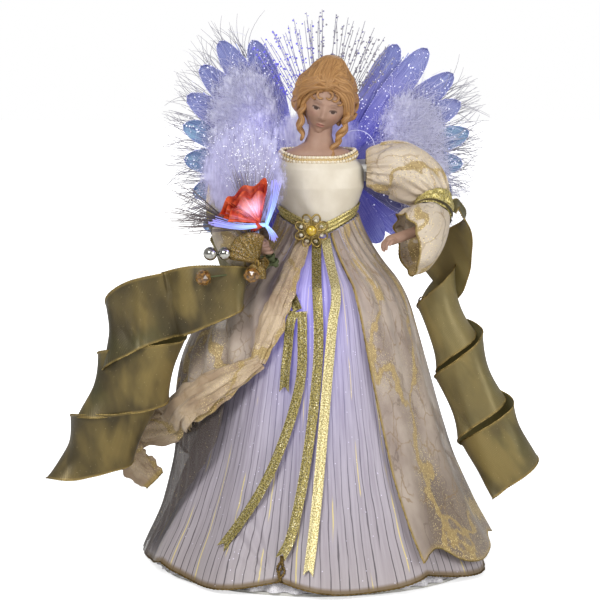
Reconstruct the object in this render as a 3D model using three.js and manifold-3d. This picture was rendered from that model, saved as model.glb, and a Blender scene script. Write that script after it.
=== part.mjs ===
// Lit angel tree topper: a doll on a hollow cone, with layered skirts, hinged wings, swinging arms
// that carry ribbons and a bouquet, a lamp unit in the cone and a light-fibre spray behind the head.
// Millimetres. +Z is up and the figure faces -Y, so its own left side is +X.
// The origin is on the cone's axis, on the plane that the foot stands on.
import * as THREE from 'three';
import { mergeVertices } from 'three/addons/utils/BufferGeometryUtils.js';
import Module from 'manifold-3d';

const wasm = await Module();
wasm.setup();

// Fits and facets
const fit = 0.3; // clearance between pieces that touch
const seam = 0.6; // space between two edges of cloth
const coneSides = 36;
const turnedSides = 16;
const torsoSides = 20;
const rodSides = 8;
const ballSides = 10;

// Cone
const coneBaseR = 112;
const coneTopR = 22;
const coneH = 222;
const coneWall = 1.2;
const footWidth = 4;
const footT = 2;
const deckT = 2;

// Lamp unit under the deck
const housingR = 17;
const housingH = 50;
const housingWall = 1.6;
const lidT = 2;
const postR = 2.8;
const boardT = 1.6;
const lensR = 4;
const lensH = 6;
const lensGap = 0.6; // between the lens and the end of the fibres
const pedestalH = 22;
const pedestalR = 8;
const pedestalWall = 1.5;
const inletR = 4;
const inletFlange = 1.5;
const inletDepth = 11;
const inletBoreR = 2.6;
const inletPinR = 0.7;
const ferruleWall = 1.8;
const ferruleDrop = 16; // length below the deck
const collarWidth = 2.5;
const collarT = 2;
const trunkR = 4;
const lidScrewR = 1.1;
const deckScrewR = 1.4;
const screwHeadH = 2;
const screwHeadEdge = 1.4;
const screwBite = 9; // length of a screw in what it holds

// Torso: height above the cone, half width and half depth
const torsoForm = [
  [fit, 20, 18],
  [20, 19.5, 15.5],
  [38, 26, 18.5],
  [54, 31, 20],
  [68, 31, 17],
  [76, 24, 13],
];
const torsoSteps = 7;
const shoulderUp = 67; // height of the arm studs above the cone
const studR = 3;
const studL = 8;
const bodiceT = 1.4;
const bodiceFootUp = 14;
const bodiceNeck = 2; // from the bodice's top edge to the top of the torso
const trimR = 1.9;
const trimSides = 6;
const trimSteps = 24;

// Skirts
const clothT = 1.2;
// How far the underskirt stands off the cone, at shares of the cone's height
const skirtForm = [
  [0, 15],
  [0.063, 15.7],
  [0.18, 12.2],
  [0.36, 12.4],
  [0.518, 16.6],
  [0.676, 21.8],
  [0.856, 28],
  [0.937, 27.3],
  [1, 24],
];
const shoulderDrop = 12; // below the top of the cone, where the skirts turn in to the waist
const waistBend = 0.5;
const waistFullness = 0.4;
const foldCount = 11;
const foldDepth = 3;
const foldColumns = 4;
const hemRows = 5; // rows of a skirt below its shoulder
const hemUp = 3;
const hemScallop = 8;
const scallopCount = 7;
const scallopAt = -13; // a point of the hem, degrees from the front
const pleatCount = 18;
const pleatT = 0.9;
const petticoatHem = 4;
const petticoatTopDrop = 10;
const petticoatGap = 2.4;
const petticoatRows = 4;
const tulleGap = 1.3;
const tulleT = 0.8;
const overGap = 3.4;
const overT = 1;
const overFold = 4;
const sidePuff = 20; // swell of the picked-up right panel and the tulle under it
const overFoldCount = 11;
const overColumns = 24;
const openLow = 28; // the overskirts stand full off the skirt below this drop from the cone's top
const openHigh = 12;
const tulleTopDrop = 44;
const tulleHem = 6;
const tulleAngles = [-52, -116]; // degrees from the front
const tulleRows = 7;
const tulleColumns = 8;
const leftEdgeTop = 30; // front edge of the left panel, degrees from the front
const leftEdgeHem = 35;
const leftEdgeSweep = 8;
const rightEdge = -31;
const backEdge = 177;
const leftHem = 14;
const rightHemFront = 0.7; // share of the cone's height, where the right panel is picked up
const rightHemBack = 26;

// Sash, brooch and sash tails
const sashUp = 40; // height of the sash at the back, above the cone
const sashDip = 15; // drop to the front
const sashWidth = 8;
const sashT = 1.8;
const sashColumns = 32;
const broochX = -5;
const broochR = 8;
const broochTall = 1.2; // height of the ring of petals over its width
const petalR = 3;
const petalCount = 8;
const petalStep = 0.5; // from the front of the boss back to the front of a petal
const broochT = 3.5;
const gemR = 3.2;
const gemSeat = 1;
const tailGap = 2;
const tailT = 0.8;
const tailWidth = 7;
const tailNeck = 4.4; // width at the brooch
const tailNeckL = 44;
const tailSteps = 15;
const tailEase = 1.6; // steps are closest at the brooch
// Ribbons of the sash: angles from the front in degrees, with drops from the brooch
const tails = {
  sash_loop: { width: 3.6, route: [[-22, 0], [-27, 12], [-19, 28], [-13.4, 39.6]] },
  sash_tail_short: { width: 4, route: [[-15.8, 40.2], [-17.5, 54], [-18, 96]] },
  sash_tail_long: {
    width: tailWidth,
    route: [[-10.6, 40.2], [-9.5, 56], [-10, 92], [-22, 156], [-36, 204]],
  },
  sash_tail_middle: { width: tailWidth, route: [[-3, 0], [0, 52], [-2, 100], [-9, 184], [-13, 207]] },
  sash_tail_bright: { width: tailWidth, route: [[13, 0], [12, 29], [8, 52], [2.6, 114], [-3.5, 217]] },
};

// Head
const headAt = [3, -3, 114.5]; // above the top of the cone
const headTilt = 9; // towards the figure's left
const headNod = 10;
const skullR = [15.5, 17, 21.5];
const neckR = 6.5;
const bustForm = [[fit, 20, 11.5], [4, 17, 11], [8, 9, 8.5], [12, neckR, neckR]]; // as the torso's form
const jaw = { at: [0, -4.5, -11], r: [10.6, 10.5, 11.5] }; // in the head's own frame
const nose = { at: [0, -16.6, -3.4], r: [1.9, 2.4, 4] };
const hairForm = [
  { at: [0, 3.5, 6], r: [23.5, 20, 23], sides: 14 },
  { at: [1, 3, 20], r: [14.5, 14, 15.5], sides: 12 },
  { at: [-17, 1, -10], r: [5.5, 9, 11], sides: 8 },
  { at: [17, 1, -10], r: [5.5, 9, 11], sides: 8 },
  { at: [-4, -13, 14], r: [8, 5, 5], sides: 8 },
  { at: [6, -13, 14], r: [8, 5, 5], sides: 8 },
];
const faceWindow = { at: [0, -20, -7], r: [14, 16, 19] };

// Arms, as points from the shoulder: along the arm's own side, forwards and up
const armReach = {
  left: [[9, 0, 0], [28, 2, -2], [48, 13, -21], [42, 32, -38], [12, 50, -48]],
  right: [[9, 0, 0], [23, 4, -5], [32, 22, -25], [26, 43, -41], [5, 60, -49]],
};
const sleeveL = 54;
const sleeveR = 19;
const sleeveHeadR = 10;
const bandR = 13;
const bandL = 6;
const cuffL = 32;
const cuffSag = { left: 14, right: 5 }; // of the underside at its mouth
const cuffR = 19;
const cuffT = 1.2;
const cuffCapT = 2;
const wristR = 4;
const palmR = 5;
const fistR = 6.5;
const fingerR = 1.5;
const handSteps = 8;
const handSides = 10;
const sleeveFacets = 16;
const sleeveSteps = 8;
const cuffSteps = 3;

// Ribbon of the stole, which winds down beside the skirt
const stoleWidth = 47;
const stoleT = 1.1;
const stoleTurns = { left: 2.75, right: 2.4 };
const stoleStart = { left: 90, right: -50 }; // degrees from the ring's outer end towards the back
const stoleStep = 0.6; // by which share the ribbon falls faster behind its axis, and slower before it
const stoleStepsPerTurn = 12;
const stoleHalfX = { left: [15, 25], right: [26, 29] }; // at its top and foot
const stoleHalfY = 14;
const stoleSide = { left: [0.925, 0, 0.38], right: [1, 0, 0] }; // way across a turn
// Its axis at shares of the cone's height: how far it is off the underskirt, and its depth
const stoleAxis = {
  left: [[0.919, 28, 8], [0.775, 28, 2], [0.55, 33.5, -10], [0.342, 44, -8]],
  right: [[0.892, 62.6, -48], [0.676, 60, -50], [0.468, 72.9, -44], [0.396, 76.3, -40]],
};
// Points with their height above the cone, from the arm to the first turn
const stoleLead = {
  left: [[101, -8, 42], [106, -4, 22]],
  right: [[-75, 3, 21], [-72, -6, 4], [-66, -30, -9], [-58, -51, -15], [-52, -61, -18], [-60, -68, -20],
    [-86, -64, -22]],
};
const leadSteps = { left: 8, right: 20 };
const leadEase = { left: [0.1, 0.9], right: [0.3, 1] }; // shares of the lead between which it widens

// Bouquet in the right hand
const stemR = 1.8;
const stemUp = 24; // above the middle of the fist
const stemDown = 21;
const stemLean = [-0.45, -0.5, 0.74];
const sprigCollarR = 3.6;
const sprigCollarH = 2.6;
const flowerH = 25;
const flowerLift = 1.4;
const flowerR = 21;
const flowerRuffles = 6;
const ruffleDepth = 0.12;
const flowerSides = 24;
const flowerForm = [[0, 0.17], [0.3, 0.48], [0.65, 0.82], [1, 1], [0.8, 0.55], [0.55, 0.2]]; // up and out
const berryWireR = 0.8;
const silverR = 4.9;
const amberR = 5.8;
// Berries from the middle of the fist
const silverAt = [[-36.9, -13, -4], [-26.9, -12, -4]];
const amberAt = [[-41.9, -13, -21], [-7.9, -12, -19]];
const strandR = 0.5;
const needleCount = 16;
const needleL = 46;
const twigL = 30;
const twigR = 1.2;
const twigWay = [-0.96, -0.22, 0.16];
const needleSplay = [0.16, 0.08]; // away from the twig, upwards and towards the front
const needleTurn = 2.4; // from one needle to the next round the twig
const sprayCount = 16;
const sprayL = 75;
// The first and last direction of the fan of fibres
const sprayWays = [[0.5, -0.05, 0.86], [-0.28, 0.42, 0.87]];
const fanLean = [0.05, 0.07, 0.04]; // between neighbours of a fan
const fanRagged = 0.2; // share of the length by which strands differ
const knotR = 2.4;
const bowWay = [-0.55, -0.83, -0.1]; // from the fist to the knot
const bowLobes = [
  { at: [-7.5, -5, -1], r: [8.5, 4, 6], turn: [0, 0.25, 0.35] },
  { at: [3.5, -5.5, -1], r: [7.5, 4, 6], turn: [0, -0.25, 0.1] },
];

// Wings, hinges and halo
const hingeUp = 63; // middle of the wing hinges above the cone
const hingeX = 16;
const hingeHalfH = 12;
const pinR = 1.5;
const barrelWall = 1.8;
const earT = 3;
const plateT = 3;
const plateHalfW = 21;
const pegX = 9;
const pegR = 2;
const pegL = 8;
const wingPanelT = 1.4;
const wingRootX = 14; // middle of the fan of lobes
const wingFanR = 62;
const lobeAngles = [68, 56, 43, 30, 17, 3, -14, -31];
const lobeLengths = [100, 112, 110, 105, 98, 91, 87, 82];
const lobeR = 10;
const plumeForm = [
  { at: [52, 16], r: [27, 9, 34], lean: 0.55 }, // beside the axis and above the wing's middle
  { at: [50, -4], r: [27, 8, 24], lean: -0.2 },
  { at: [44, -26], r: [20, 7, 20], lean: -0.5 },
];
const wingUp = 2; // middle of the fan above the middle of the hinge
const fibreTurn = 3; // degrees either side of a lobe's middle
const fibreShare = 0.82; // of a lobe's length
const fibreSlice = { width: 6, depth: 2.4, halfH: 8 };
const rootArmL = 20;
const rootArmT = 3;
const haloX = 4;
const haloCount = 34;
const haloSpread = 35; // half of the fan, degrees
const haloL = 102;
const haloSliceW = 15;
const haloSliceT = 3;
const haloSliceH = 6;
const haloWall = 2;
const haloRagged = 0.22; // share of the length by which strands differ
const haloLayer = 0.9; // depth between neighbours

// Small helpers
const V = (x, y, z) => new THREE.Vector3(x, y, z);
const { degToRad, lerp, smoothstep, clamp } = THREE.MathUtils;
const parts = new THREE.Group();

function add(name, geometry, color, roughness, metalness = 0) {
  const material = new THREE.MeshStandardMaterial({ color, roughness, metalness });
  const mesh = new THREE.Mesh(geometry, material);
  mesh.name = name;
  parts.add(mesh);
}

// The same closed surface, turned if need be so that its faces point out.
function facingOut(geometry) {
  const place = geometry.attributes.position;
  const corner = (i) => V().fromBufferAttribute(place, geometry.index.getX(i));
  let volume = 0;
  for (let i = 0; i < geometry.index.count; i += 3) {
    volume += corner(i).dot(corner(i + 1).cross(corner(i + 2)));
  }
  if (volume < 0) {
    geometry.setIndex(new THREE.BufferAttribute(geometry.index.array.slice().reverse(), 1));
  }
  geometry.computeVertexNormals();
  return geometry;
}

// A closed surface from points and triangles.
function closed(points, faces) {
  const geometry = new THREE.BufferGeometry().setFromPoints(points);
  geometry.setIndex(faces);
  return facingOut(geometry);
}

// A solid through rings of points, with a fan over each end.
function loft(rings) {
  const n = rings[0].length;
  const points = rings.flat();
  const faces = [];
  for (let i = 0; i < rings.length - 1; i += 1) {
    for (let j = 0; j < n; j += 1) {
      const k = (j + 1) % n;
      faces.push(i * n + j, i * n + k, (i + 1) * n + k);
      faces.push(i * n + j, (i + 1) * n + k, (i + 1) * n + j);
    }
  }
  const last = (rings.length - 1) * n;
  const middle = (ring) => ring.reduce((sum, p) => sum.add(p), V(0, 0, 0)).divideScalar(n);
  points.push(middle(rings[0]), middle(rings[rings.length - 1]));
  for (let j = 0; j < n; j += 1) {
    const k = (j + 1) % n;
    faces.push(points.length - 2, k, j);
    faces.push(points.length - 1, last + j, last + k);
  }
  return closed(points, faces);
}

// A sheet with thickness between two grids of points, joined round its edges.
function sheet(outer, inner, wraps) {
  const rows = outer.length;
  const cols = outer[0].length;
  const points = [...outer.flat(), ...inner.flat()];
  const at = (side, r, c) => (side * rows + r) * cols + (c % cols);
  const faces = [];
  const quad = (a, b, c, d) => faces.push(a, b, c, a, c, d);
  const spans = wraps ? cols : cols - 1;
  const top = rows - 1;
  for (let c = 0; c < spans; c += 1) {
    for (let r = 0; r < top; r += 1) {
      quad(at(0, r, c), at(0, r, c + 1), at(0, r + 1, c + 1), at(0, r + 1, c));
      quad(at(1, r, c), at(1, r + 1, c), at(1, r + 1, c + 1), at(1, r, c + 1));
    }
    quad(at(0, 0, c), at(1, 0, c), at(1, 0, c + 1), at(0, 0, c + 1));
    quad(at(0, top, c), at(0, top, c + 1), at(1, top, c + 1), at(1, top, c));
  }
  for (let r = 0; r < top && !wraps; r += 1) {
    quad(at(0, r, 0), at(0, r + 1, 0), at(1, r + 1, 0), at(1, r, 0));
    quad(at(0, r, spans), at(1, r, spans), at(1, r + 1, spans), at(0, r + 1, spans));
  }
  return closed(points, faces);
}

function rod(from, to, radius, endRadius = radius, facets = rodSides) {
  const along = to.clone().sub(from);
  const geometry = new THREE.CylinderGeometry(endRadius, radius, along.length(), facets);
  geometry.translate(0, along.length() / 2, 0);
  geometry.applyQuaternion(new THREE.Quaternion().setFromUnitVectors(V(0, 1, 0), along.normalize()));
  return geometry.translate(from.x, from.y, from.z);
}

function box(low, high) {
  const size = V(...high).sub(V(...low));
  const geometry = new THREE.BoxGeometry(size.x, size.y, size.z);
  return geometry.translate((low[0] + high[0]) / 2, (low[1] + high[1]) / 2, (low[2] + high[2]) / 2);
}

function ball(centre, radii, turn = new THREE.Euler(), facets = ballSides) {
  const geometry = new THREE.SphereGeometry(1, facets, facets / 2);
  geometry.rotateX(Math.PI / 2).scale(...radii);
  geometry.applyQuaternion(new THREE.Quaternion().setFromEuler(turn));
  return geometry.translate(centre.x, centre.y, centre.z);
}

function turned(profile, facets = turnedSides) {
  const outline = profile.map(([r, z]) => new THREE.Vector2(r, z));
  return facingOut(new THREE.LatheGeometry(outline, facets).rotateX(Math.PI / 2));
}

function toSolid(geometry) {
  const bare = geometry.clone();
  bare.deleteAttribute('normal');
  bare.deleteAttribute('uv');
  const merged = mergeVertices(bare);
  const vertProperties = new Float32Array(merged.attributes.position.array);
  const triVerts = new Uint32Array(merged.index.array);
  return new wasm.Manifold(new wasm.Mesh({ numProp: 3, vertProperties, triVerts }));
}

// The first shapes joined, less the shapes in cuts.
function carve(joins, cuts = []) {
  let body = toSolid(joins[0]);
  for (const join of joins.slice(1)) {
    body = body.add(toSolid(join));
  }
  for (const cut of cuts) {
    body = body.subtract(toSolid(cut));
  }
  const mesh = body.getMesh();
  const geometry = new THREE.BufferGeometry();
  geometry.setAttribute('position', new THREE.BufferAttribute(mesh.vertProperties.slice(), 3));
  geometry.setIndex(new THREE.BufferAttribute(mesh.triVerts.slice(), 1));
  geometry.computeVertexNormals();
  return geometry;
}

// A ribbon of even thickness along points, with the direction of its width at each point.
function ribbon(points, acrosses, widths, thickness, cols = 2) {
  const grids = [[], []];
  points.forEach((p, i) => {
    const ahead = points[Math.min(i + 1, points.length - 1)];
    const behind = points[Math.max(i - 1, 0)];
    const normal = ahead.clone().sub(behind).cross(acrosses[i]).normalize();
    for (const side of [0, 1]) {
      const row = [];
      for (let c = 0; c < cols; c += 1) {
        const across = acrosses[i].clone().multiplyScalar((c / (cols - 1) - 0.5) * widths[i]);
        row.push(p.clone().add(across).addScaledVector(normal, (0.5 - side) * thickness));
      }
      grids[side].push(row);
    }
  });
  return sheet(grids[0], grids[1], false);
}

// Rings square to a curve, from one distance along it to another. Their undersides sag towards the end.
function ringsAlong(curve, from, to, steps, radiusAt, facets, sag = 0) {
  const length = curve.getLength();
  return Array.from({ length: steps + 1 }, (_, i) => {
    const share = i / steps;
    const along = lerp(from, to, share) / length;
    const centre = curve.getPointAt(along);
    const tangent = curve.getTangentAt(along);
    const side = tangent.clone().cross(V(0, 1, 0)).normalize();
    const up = side.clone().cross(tangent);
    return Array.from({ length: facets }, (_unused, j) => {
      const turn = (j / facets) * 2 * Math.PI;
      const r = radiusAt(share);
      const spoke = side.clone().multiplyScalar(Math.cos(turn)).addScaledVector(up, Math.sin(turn));
      const fall = V(0, 0, sag * share * Math.min(0, spoke.z));
      return centre.clone().addScaledVector(spoke, r).add(fall);
    });
  });
}

// Strands of three sides that leave a slice of backing, each from its root to its tip.
function brush(backing, strands, cuts = []) {
  const hairs = strands.map(([root, tip]) => rod(root, tip, strandR, 0, 3));
  return carve([backing, ...hairs], cuts);
}

// Cone with its foot and deck
const coneRadius = (z) => lerp(coneBaseR, coneTopR, z / coneH);
const deckUnder = coneH - deckT;
const ferruleR = trunkR + fit + ferruleWall;
const collarR = ferruleR + collarWidth;
const deckScrewX = collarR + deckScrewR + 2 * fit;
const deckScrewSides = [-1, 1];
const deckScrewHoles = deckScrewSides.map((side) => rod(
  V(side * deckScrewX, 0, deckUnder - housingWall - deckT - screwHeadH),
  V(side * deckScrewX, 0, coneH + screwBite + 1),
  deckScrewR + fit,
));
const coneProfile = [
  [coneRadius(0) - coneWall, 0],
  [coneRadius(0) + footWidth, 0],
  [coneRadius(0) + footWidth, footT],
  [coneRadius(footT), footT],
  [coneTopR, coneH],
  [ferruleR + fit, coneH],
  [ferruleR + fit, deckUnder],
  [coneRadius(deckUnder) - coneWall, deckUnder],
  [coneRadius(0) - coneWall, 0],
];
add('tree_cone', carve([turned(coneProfile, coneSides)], deckScrewHoles), '#e8e6e0', 0.6);

// Lamp unit: housing, lid, board, lens, inlet, ferrule and screws
const housingTop = deckUnder - fit;
const housingFoot = housingTop - housingH;
const lidTop = housingFoot - fit;
const lidFoot = lidTop - lidT;
const postY = housingR - housingWall - postR + 0.5;
const boardR = postY - postR - 2 * fit;
const housingProfile = [
  [ferruleR + fit, housingTop],
  [ferruleR + fit, housingTop - housingWall],
  [housingR - housingWall, housingTop - housingWall],
  [housingR - housingWall, housingFoot],
  [housingR, housingFoot],
  [housingR, housingTop],
  [ferruleR + fit, housingTop],
];
const posts = [-1, 1].map((side) => rod(
  V(0, side * postY, housingFoot),
  V(0, side * postY, housingTop - housingWall / 2),
  postR,
));
const lidScrewHoles = [-1, 1].map((side) => rod(
  V(0, side * postY, lidFoot - 1),
  V(0, side * postY, housingFoot + screwBite + 1),
  lidScrewR + fit,
));
const housingCuts = [...deckScrewHoles, ...lidScrewHoles];
add('lamp_housing', carve([turned(housingProfile), ...posts], housingCuts), '#f1f0ec', 0.5);
const boardFoot = lidTop + pedestalH + fit;
const lidProfile = [
  [inletR + fit, lidFoot],
  [housingR, lidFoot],
  [housingR, lidTop],
  [pedestalR, lidTop],
  [pedestalR, lidTop + pedestalH],
  [pedestalR - pedestalWall, lidTop + pedestalH],
  [pedestalR - pedestalWall, lidTop],
  [inletR + fit, lidTop],
  [inletR + fit, lidFoot],
];
add('housing_lid', carve([turned(lidProfile)], lidScrewHoles), '#f1f0ec', 0.5);
const inletTop = lidTop + inletDepth;
const inletFoot = lidFoot - fit - inletFlange;
add('dc_inlet', turned([
  [0, inletTop],
  [inletR, inletTop],
  [inletR, inletFoot + inletFlange],
  [inletR + inletFlange, inletFoot + inletFlange],
  [inletR + inletFlange, inletFoot],
  [inletBoreR, inletFoot],
  [inletBoreR, inletTop - inletFlange],
  [inletPinR, inletTop - inletFlange],
  [inletPinR, inletFoot + inletFlange],
  [0, inletFoot + inletFlange],
], rodSides), '#1c1c1e', 0.5);
add('led_board', turned([
  [0, boardFoot],
  [boardR, boardFoot],
  [boardR, boardFoot + boardT],
  [0, boardFoot + boardT],
]), '#2f6b45', 0.5);
const lensFoot = boardFoot + boardT + fit;
add('led_lens', turned([
  [0, lensFoot],
  [lensR, lensFoot],
  [lensR, lensFoot + lensH / 3],
  [lensR * 0.7, lensFoot + lensH * 0.8],
  [0, lensFoot + lensH],
], rodSides), '#dfe6f4', 0.1);
const collarFoot = coneH + fit;
add('fibre_ferrule', turned([
  [trunkR + fit, deckUnder - ferruleDrop],
  [ferruleR, deckUnder - ferruleDrop],
  [ferruleR, collarFoot],
  [collarR, collarFoot],
  [collarR, collarFoot + collarT],
  [trunkR + fit, collarFoot + collarT],
  [trunkR + fit, deckUnder - ferruleDrop],
]), '#c9ccd2', 0.35, 0.9);
for (const side of deckScrewSides) {
  const seat = housingTop - housingWall - fit;
  const head = rod(V(side * deckScrewX, 0, seat - screwHeadH), V(side * deckScrewX, 0, seat),
    deckScrewR + screwHeadEdge);
  const shank = rod(V(side * deckScrewX, 0, seat - 1), V(side * deckScrewX, 0, coneH + screwBite),
    deckScrewR);
  add(`deck_screw_${side < 0 ? 'right' : 'left'}`, carve([head, shank]), '#b9bcc2', 0.35, 0.9);
  const lidHead = rod(V(0, side * postY, lidFoot - fit - screwHeadH), V(0, side * postY, lidFoot - fit),
    lidScrewR + screwHeadEdge);
  const lidShank = rod(V(0, side * postY, lidFoot - fit - 1), V(0, side * postY, housingFoot + screwBite),
    lidScrewR);
  add(`lid_screw_${side < 0 ? 'front' : 'back'}`, carve([lidHead, lidShank]), '#b9bcc2', 0.35, 0.9);
}

// Torso sections: half width and half depth at a height, and the ellipse's radius at an angle
const torsoSpline = new THREE.CatmullRomCurve3(torsoForm.map(([up, a, b]) => V(a, b, coneH + up)));
const torsoRows = Array.from({ length: torsoSteps + 1 }, (_, i) => torsoSpline.getPoint(i / torsoSteps));
function torsoAt(z) {
  const next = torsoRows.findIndex((row) => row.z > z);
  const high = next < 0 ? torsoRows.length - 1 : Math.max(next, 1);
  const [below, above] = [torsoRows[high - 1], torsoRows[high]];
  const share = clamp((z - below.z) / (above.z - below.z), 0, 1);
  return [lerp(below.x, above.x, share), lerp(below.y, above.y, share)];
}
function torsoRadius(angle, z, out) {
  const [a, b] = torsoAt(z);
  return 1 / Math.hypot(Math.sin(angle) / (a + out), Math.cos(angle) / (b + out));
}
// A point at an angle from the front, a radius and a height
const polar = (angle, r, z) => V(r * Math.sin(angle), -r * Math.cos(angle), z);
const turnOf = (j, n) => (j / n) * 2 * Math.PI;
const torsoRing = (z, out, n) => Array.from({ length: n }, (_, j) => {
  const angle = turnOf(j, n);
  return polar(angle, torsoRadius(angle, z, out), z);
});

// Heights and depths shared by the torso, the arms and the bracket
const torsoTop = torsoRows[torsoSteps].z;
const shoulderZ = coneH + shoulderUp;
const hingeZ = coneH + hingeUp;
const bodiceOut = fit + bodiceT;
const shoulderX = Math.max(...torsoRows.map((row) => row.x)) + bodiceOut + 2 * fit;
const plateY = Math.max(...torsoRows.map((row) => row.y)) + bodiceOut + fit;
const barrelR = pinR + fit + barrelWall;
const hingeY = plateY + plateT + barrelR + 2 * fit;

// Fibre trunk: up from the lens, then back and out of the figure
const trunkFoot = lensFoot + lensH + lensGap;
const trunkPath = new THREE.CatmullRomCurve3([
  V(0, 0, trunkFoot),
  V(0, 0, lerp(trunkFoot, coneH, 0.7)),
  V(0, 0, coneH + hingeUp * 0.5),
  V(0, plateY * 0.3, hingeZ - hingeHalfH * 0.4),
  V(0, plateY * 0.65, hingeZ),
  V(0, plateY + plateT / 2, hingeZ),
]);
function trunk(radius) {
  const circle = new THREE.Shape().absarc(0, 0, radius, 0, 2 * Math.PI);
  const options = { steps: 10, bevelEnabled: false, extrudePath: trunkPath, curveSegments: 4 };
  return new THREE.ExtrudeGeometry(circle, options);
}
const trunkExit = rod(V(0, plateY * 0.65, hingeZ), V(0, plateY + plateT + 1, hingeZ), trunkR + 2 * fit);
add('fibre_trunk', trunk(trunkR), '#c8ccff', 0.25);

// Torso core with studs for the arms, and holes for the trunk, the collar, the screws and the bracket
const studs = [-1, 1].map((side) => rod(
  V(side * coneTopR / 2, 0, shoulderZ),
  V(side * (shoulderX + studL), 0, shoulderZ),
  studR,
));
const pegHoles = [-1, 1].map((side) => rod(
  V(side * pegX, plateY - pegL - fit, hingeZ),
  V(side * pegX, plateY + plateT, hingeZ),
  pegR + fit,
));
const recessR = collarR + 2 * fit;
const recessTop = V(0, 0, collarFoot + collarT + fit);
const collarRecess = rod(V(0, 0, coneH - 1), recessTop, recessR, recessR, turnedSides);
const torsoSkin = loft(torsoRows.map((row) => torsoRing(row.z, 0, torsoSides)));
const torsoCuts = [trunk(trunkR + fit), trunkExit, collarRecess, ...deckScrewHoles, ...pegHoles];
add('torso_core', carve([torsoSkin, ...studs], torsoCuts), '#e9e2d6', 0.55);

// Bodice: a thin shell over the torso with armholes
const bodiceFoot = coneH + bodiceFootUp;
const bodiceTop = torsoTop - bodiceNeck;
const bodiceBetween = torsoRows.map((row) => row.z).filter((z) => z > bodiceFoot && z < bodiceTop);
const bodiceRows = [bodiceFoot, ...bodiceBetween, bodiceTop];
const bodiceShell = sheet(
  bodiceRows.map((z) => torsoRing(z, bodiceOut, torsoSides)),
  bodiceRows.map((z) => torsoRing(z, fit, torsoSides)),
  true,
);
const armholes = rod(V(-shoulderX - 1, 0, shoulderZ), V(shoulderX + 1, 0, shoulderZ), studR + 2 * fit);
add('bodice', carve([bodiceShell], [armholes, trunkExit, ...pegHoles]), '#f0e6d2', 0.35);

// Neckline trim: a round braid on the bodice's top edge
const trimZ = bodiceTop + trimR + fit;
const trimRing = Array.from({ length: trimSides }, (_, j) => {
  const turn = turnOf(j, trimSides);
  return torsoRing(bodiceTop, bodiceOut / 2, trimSteps).map((centre) => {
    const out = V(centre.x, centre.y, 0).normalize();
    return centre.addScaledVector(out, trimR * Math.cos(turn)).setZ(trimZ + trimR * Math.sin(turn));
  });
});
function closedTube(rings) {
  const points = rings.flat();
  const [m, n] = [rings.length, rings[0].length];
  const faces = [];
  for (let i = 0; i < m; i += 1) {
    for (let j = 0; j < n; j += 1) {
      const [a, b] = [i * n + j, i * n + ((j + 1) % n)];
      const [c, d] = [((i + 1) % m) * n + ((j + 1) % n), ((i + 1) % m) * n + j];
      faces.push(a, b, c, a, c, d);
    }
  }
  return closed(points, faces);
}
add('neckline_trim', closedTube(trimRing), '#e6d3a0', 0.4, 0.3);

// Head with its neck and bust, and the hair over it
const headCentre = V(headAt[0], headAt[1], coneH + headAt[2]);
const headTurn = new THREE.Euler(degToRad(headNod), degToRad(headTilt), 0, 'YXZ');
const onHead = (x, y, z) => V(x, y, z).applyEuler(headTurn).add(headCentre);
const neckTop = onHead(0, 2, -skullR[2] * 0.5);
const bust = loft(bustForm.map(([up, a, b]) => Array.from({ length: torsoSides }, (_, j) => {
  const angle = turnOf(j, torsoSides);
  return V(a * Math.sin(angle), -b * Math.cos(angle), torsoTop + up);
})));
const neckFoot = V(0, 0, torsoTop + bustForm[bustForm.length - 1][0] - 1);
const neck = (radius) => rod(neckFoot, neckTop, radius, radius, 12);
const mass = ({ at, r, sides }, grow) => (
  ball(onHead(...at), r.map((radius) => radius + grow), headTurn, sides)
);
const skull = { at: [0, 0, 0], r: skullR, sides: 16 };
const face = [skull, jaw, nose].map((form) => mass(form, 0));
add('head', carve([bust, neck(neckR), ...face]), '#d2a184', 0.6);
const hairMass = hairForm.map((form) => mass(form, 0));
const hairCuts = [mass(skull, fit), mass(jaw, fit), neck(neckR + fit), mass(faceWindow, 0)];
add('hair', carve(hairMass, hairCuts), '#c8843c', 0.55);

// Skirt surface: the radius of the underskirt at an angle from the front and a height
function skirtRadius(z) {
  const share = z / coneH;
  const next = skirtForm.findIndex(([height]) => height > share);
  const high = next < 0 ? skirtForm.length - 1 : Math.max(next, 1);
  const [[below, lowOff], [above, highOff]] = [skirtForm[high - 1], skirtForm[high]];
  return coneRadius(z) + lerp(lowOff, highOff, clamp((share - below) / (above - below), 0, 1));
}
const frontShare = (angle) => ((1 + Math.cos(angle)) / 2) ** 3;
const sashZ = (angle) => coneH + sashUp - sashDip * frontShare(angle);
const skirtTop = (angle) => sashZ(angle) - sashWidth / 2 - seam;
const waistOut = bodiceOut + 2 * fit + clothT;
const skirtShoulder = coneH - shoulderDrop;
// Above its shoulder a skirt runs in to the waist in two straight stretches, which meet at waistBend.
function skirtAt(angle, z) {
  if (z <= skirtShoulder) {
    return skirtRadius(z);
  }
  const top = skirtTop(angle);
  const share = (z - skirtShoulder) / (top - skirtShoulder);
  const shoulder = skirtRadius(skirtShoulder);
  const waist = torsoRadius(angle, top, waistOut);
  const bend = lerp(waist, shoulder, waistFullness);
  if (share < waistBend) {
    return lerp(shoulder, bend, share / waistBend);
  }
  return lerp(bend, waist, (share - waistBend) / (1 - waistBend));
}
const foldAmp = (z) => foldDepth * clamp(1 - z / coneH, 0, 1);
const waistRows = [0, waistBend, 1];
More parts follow.
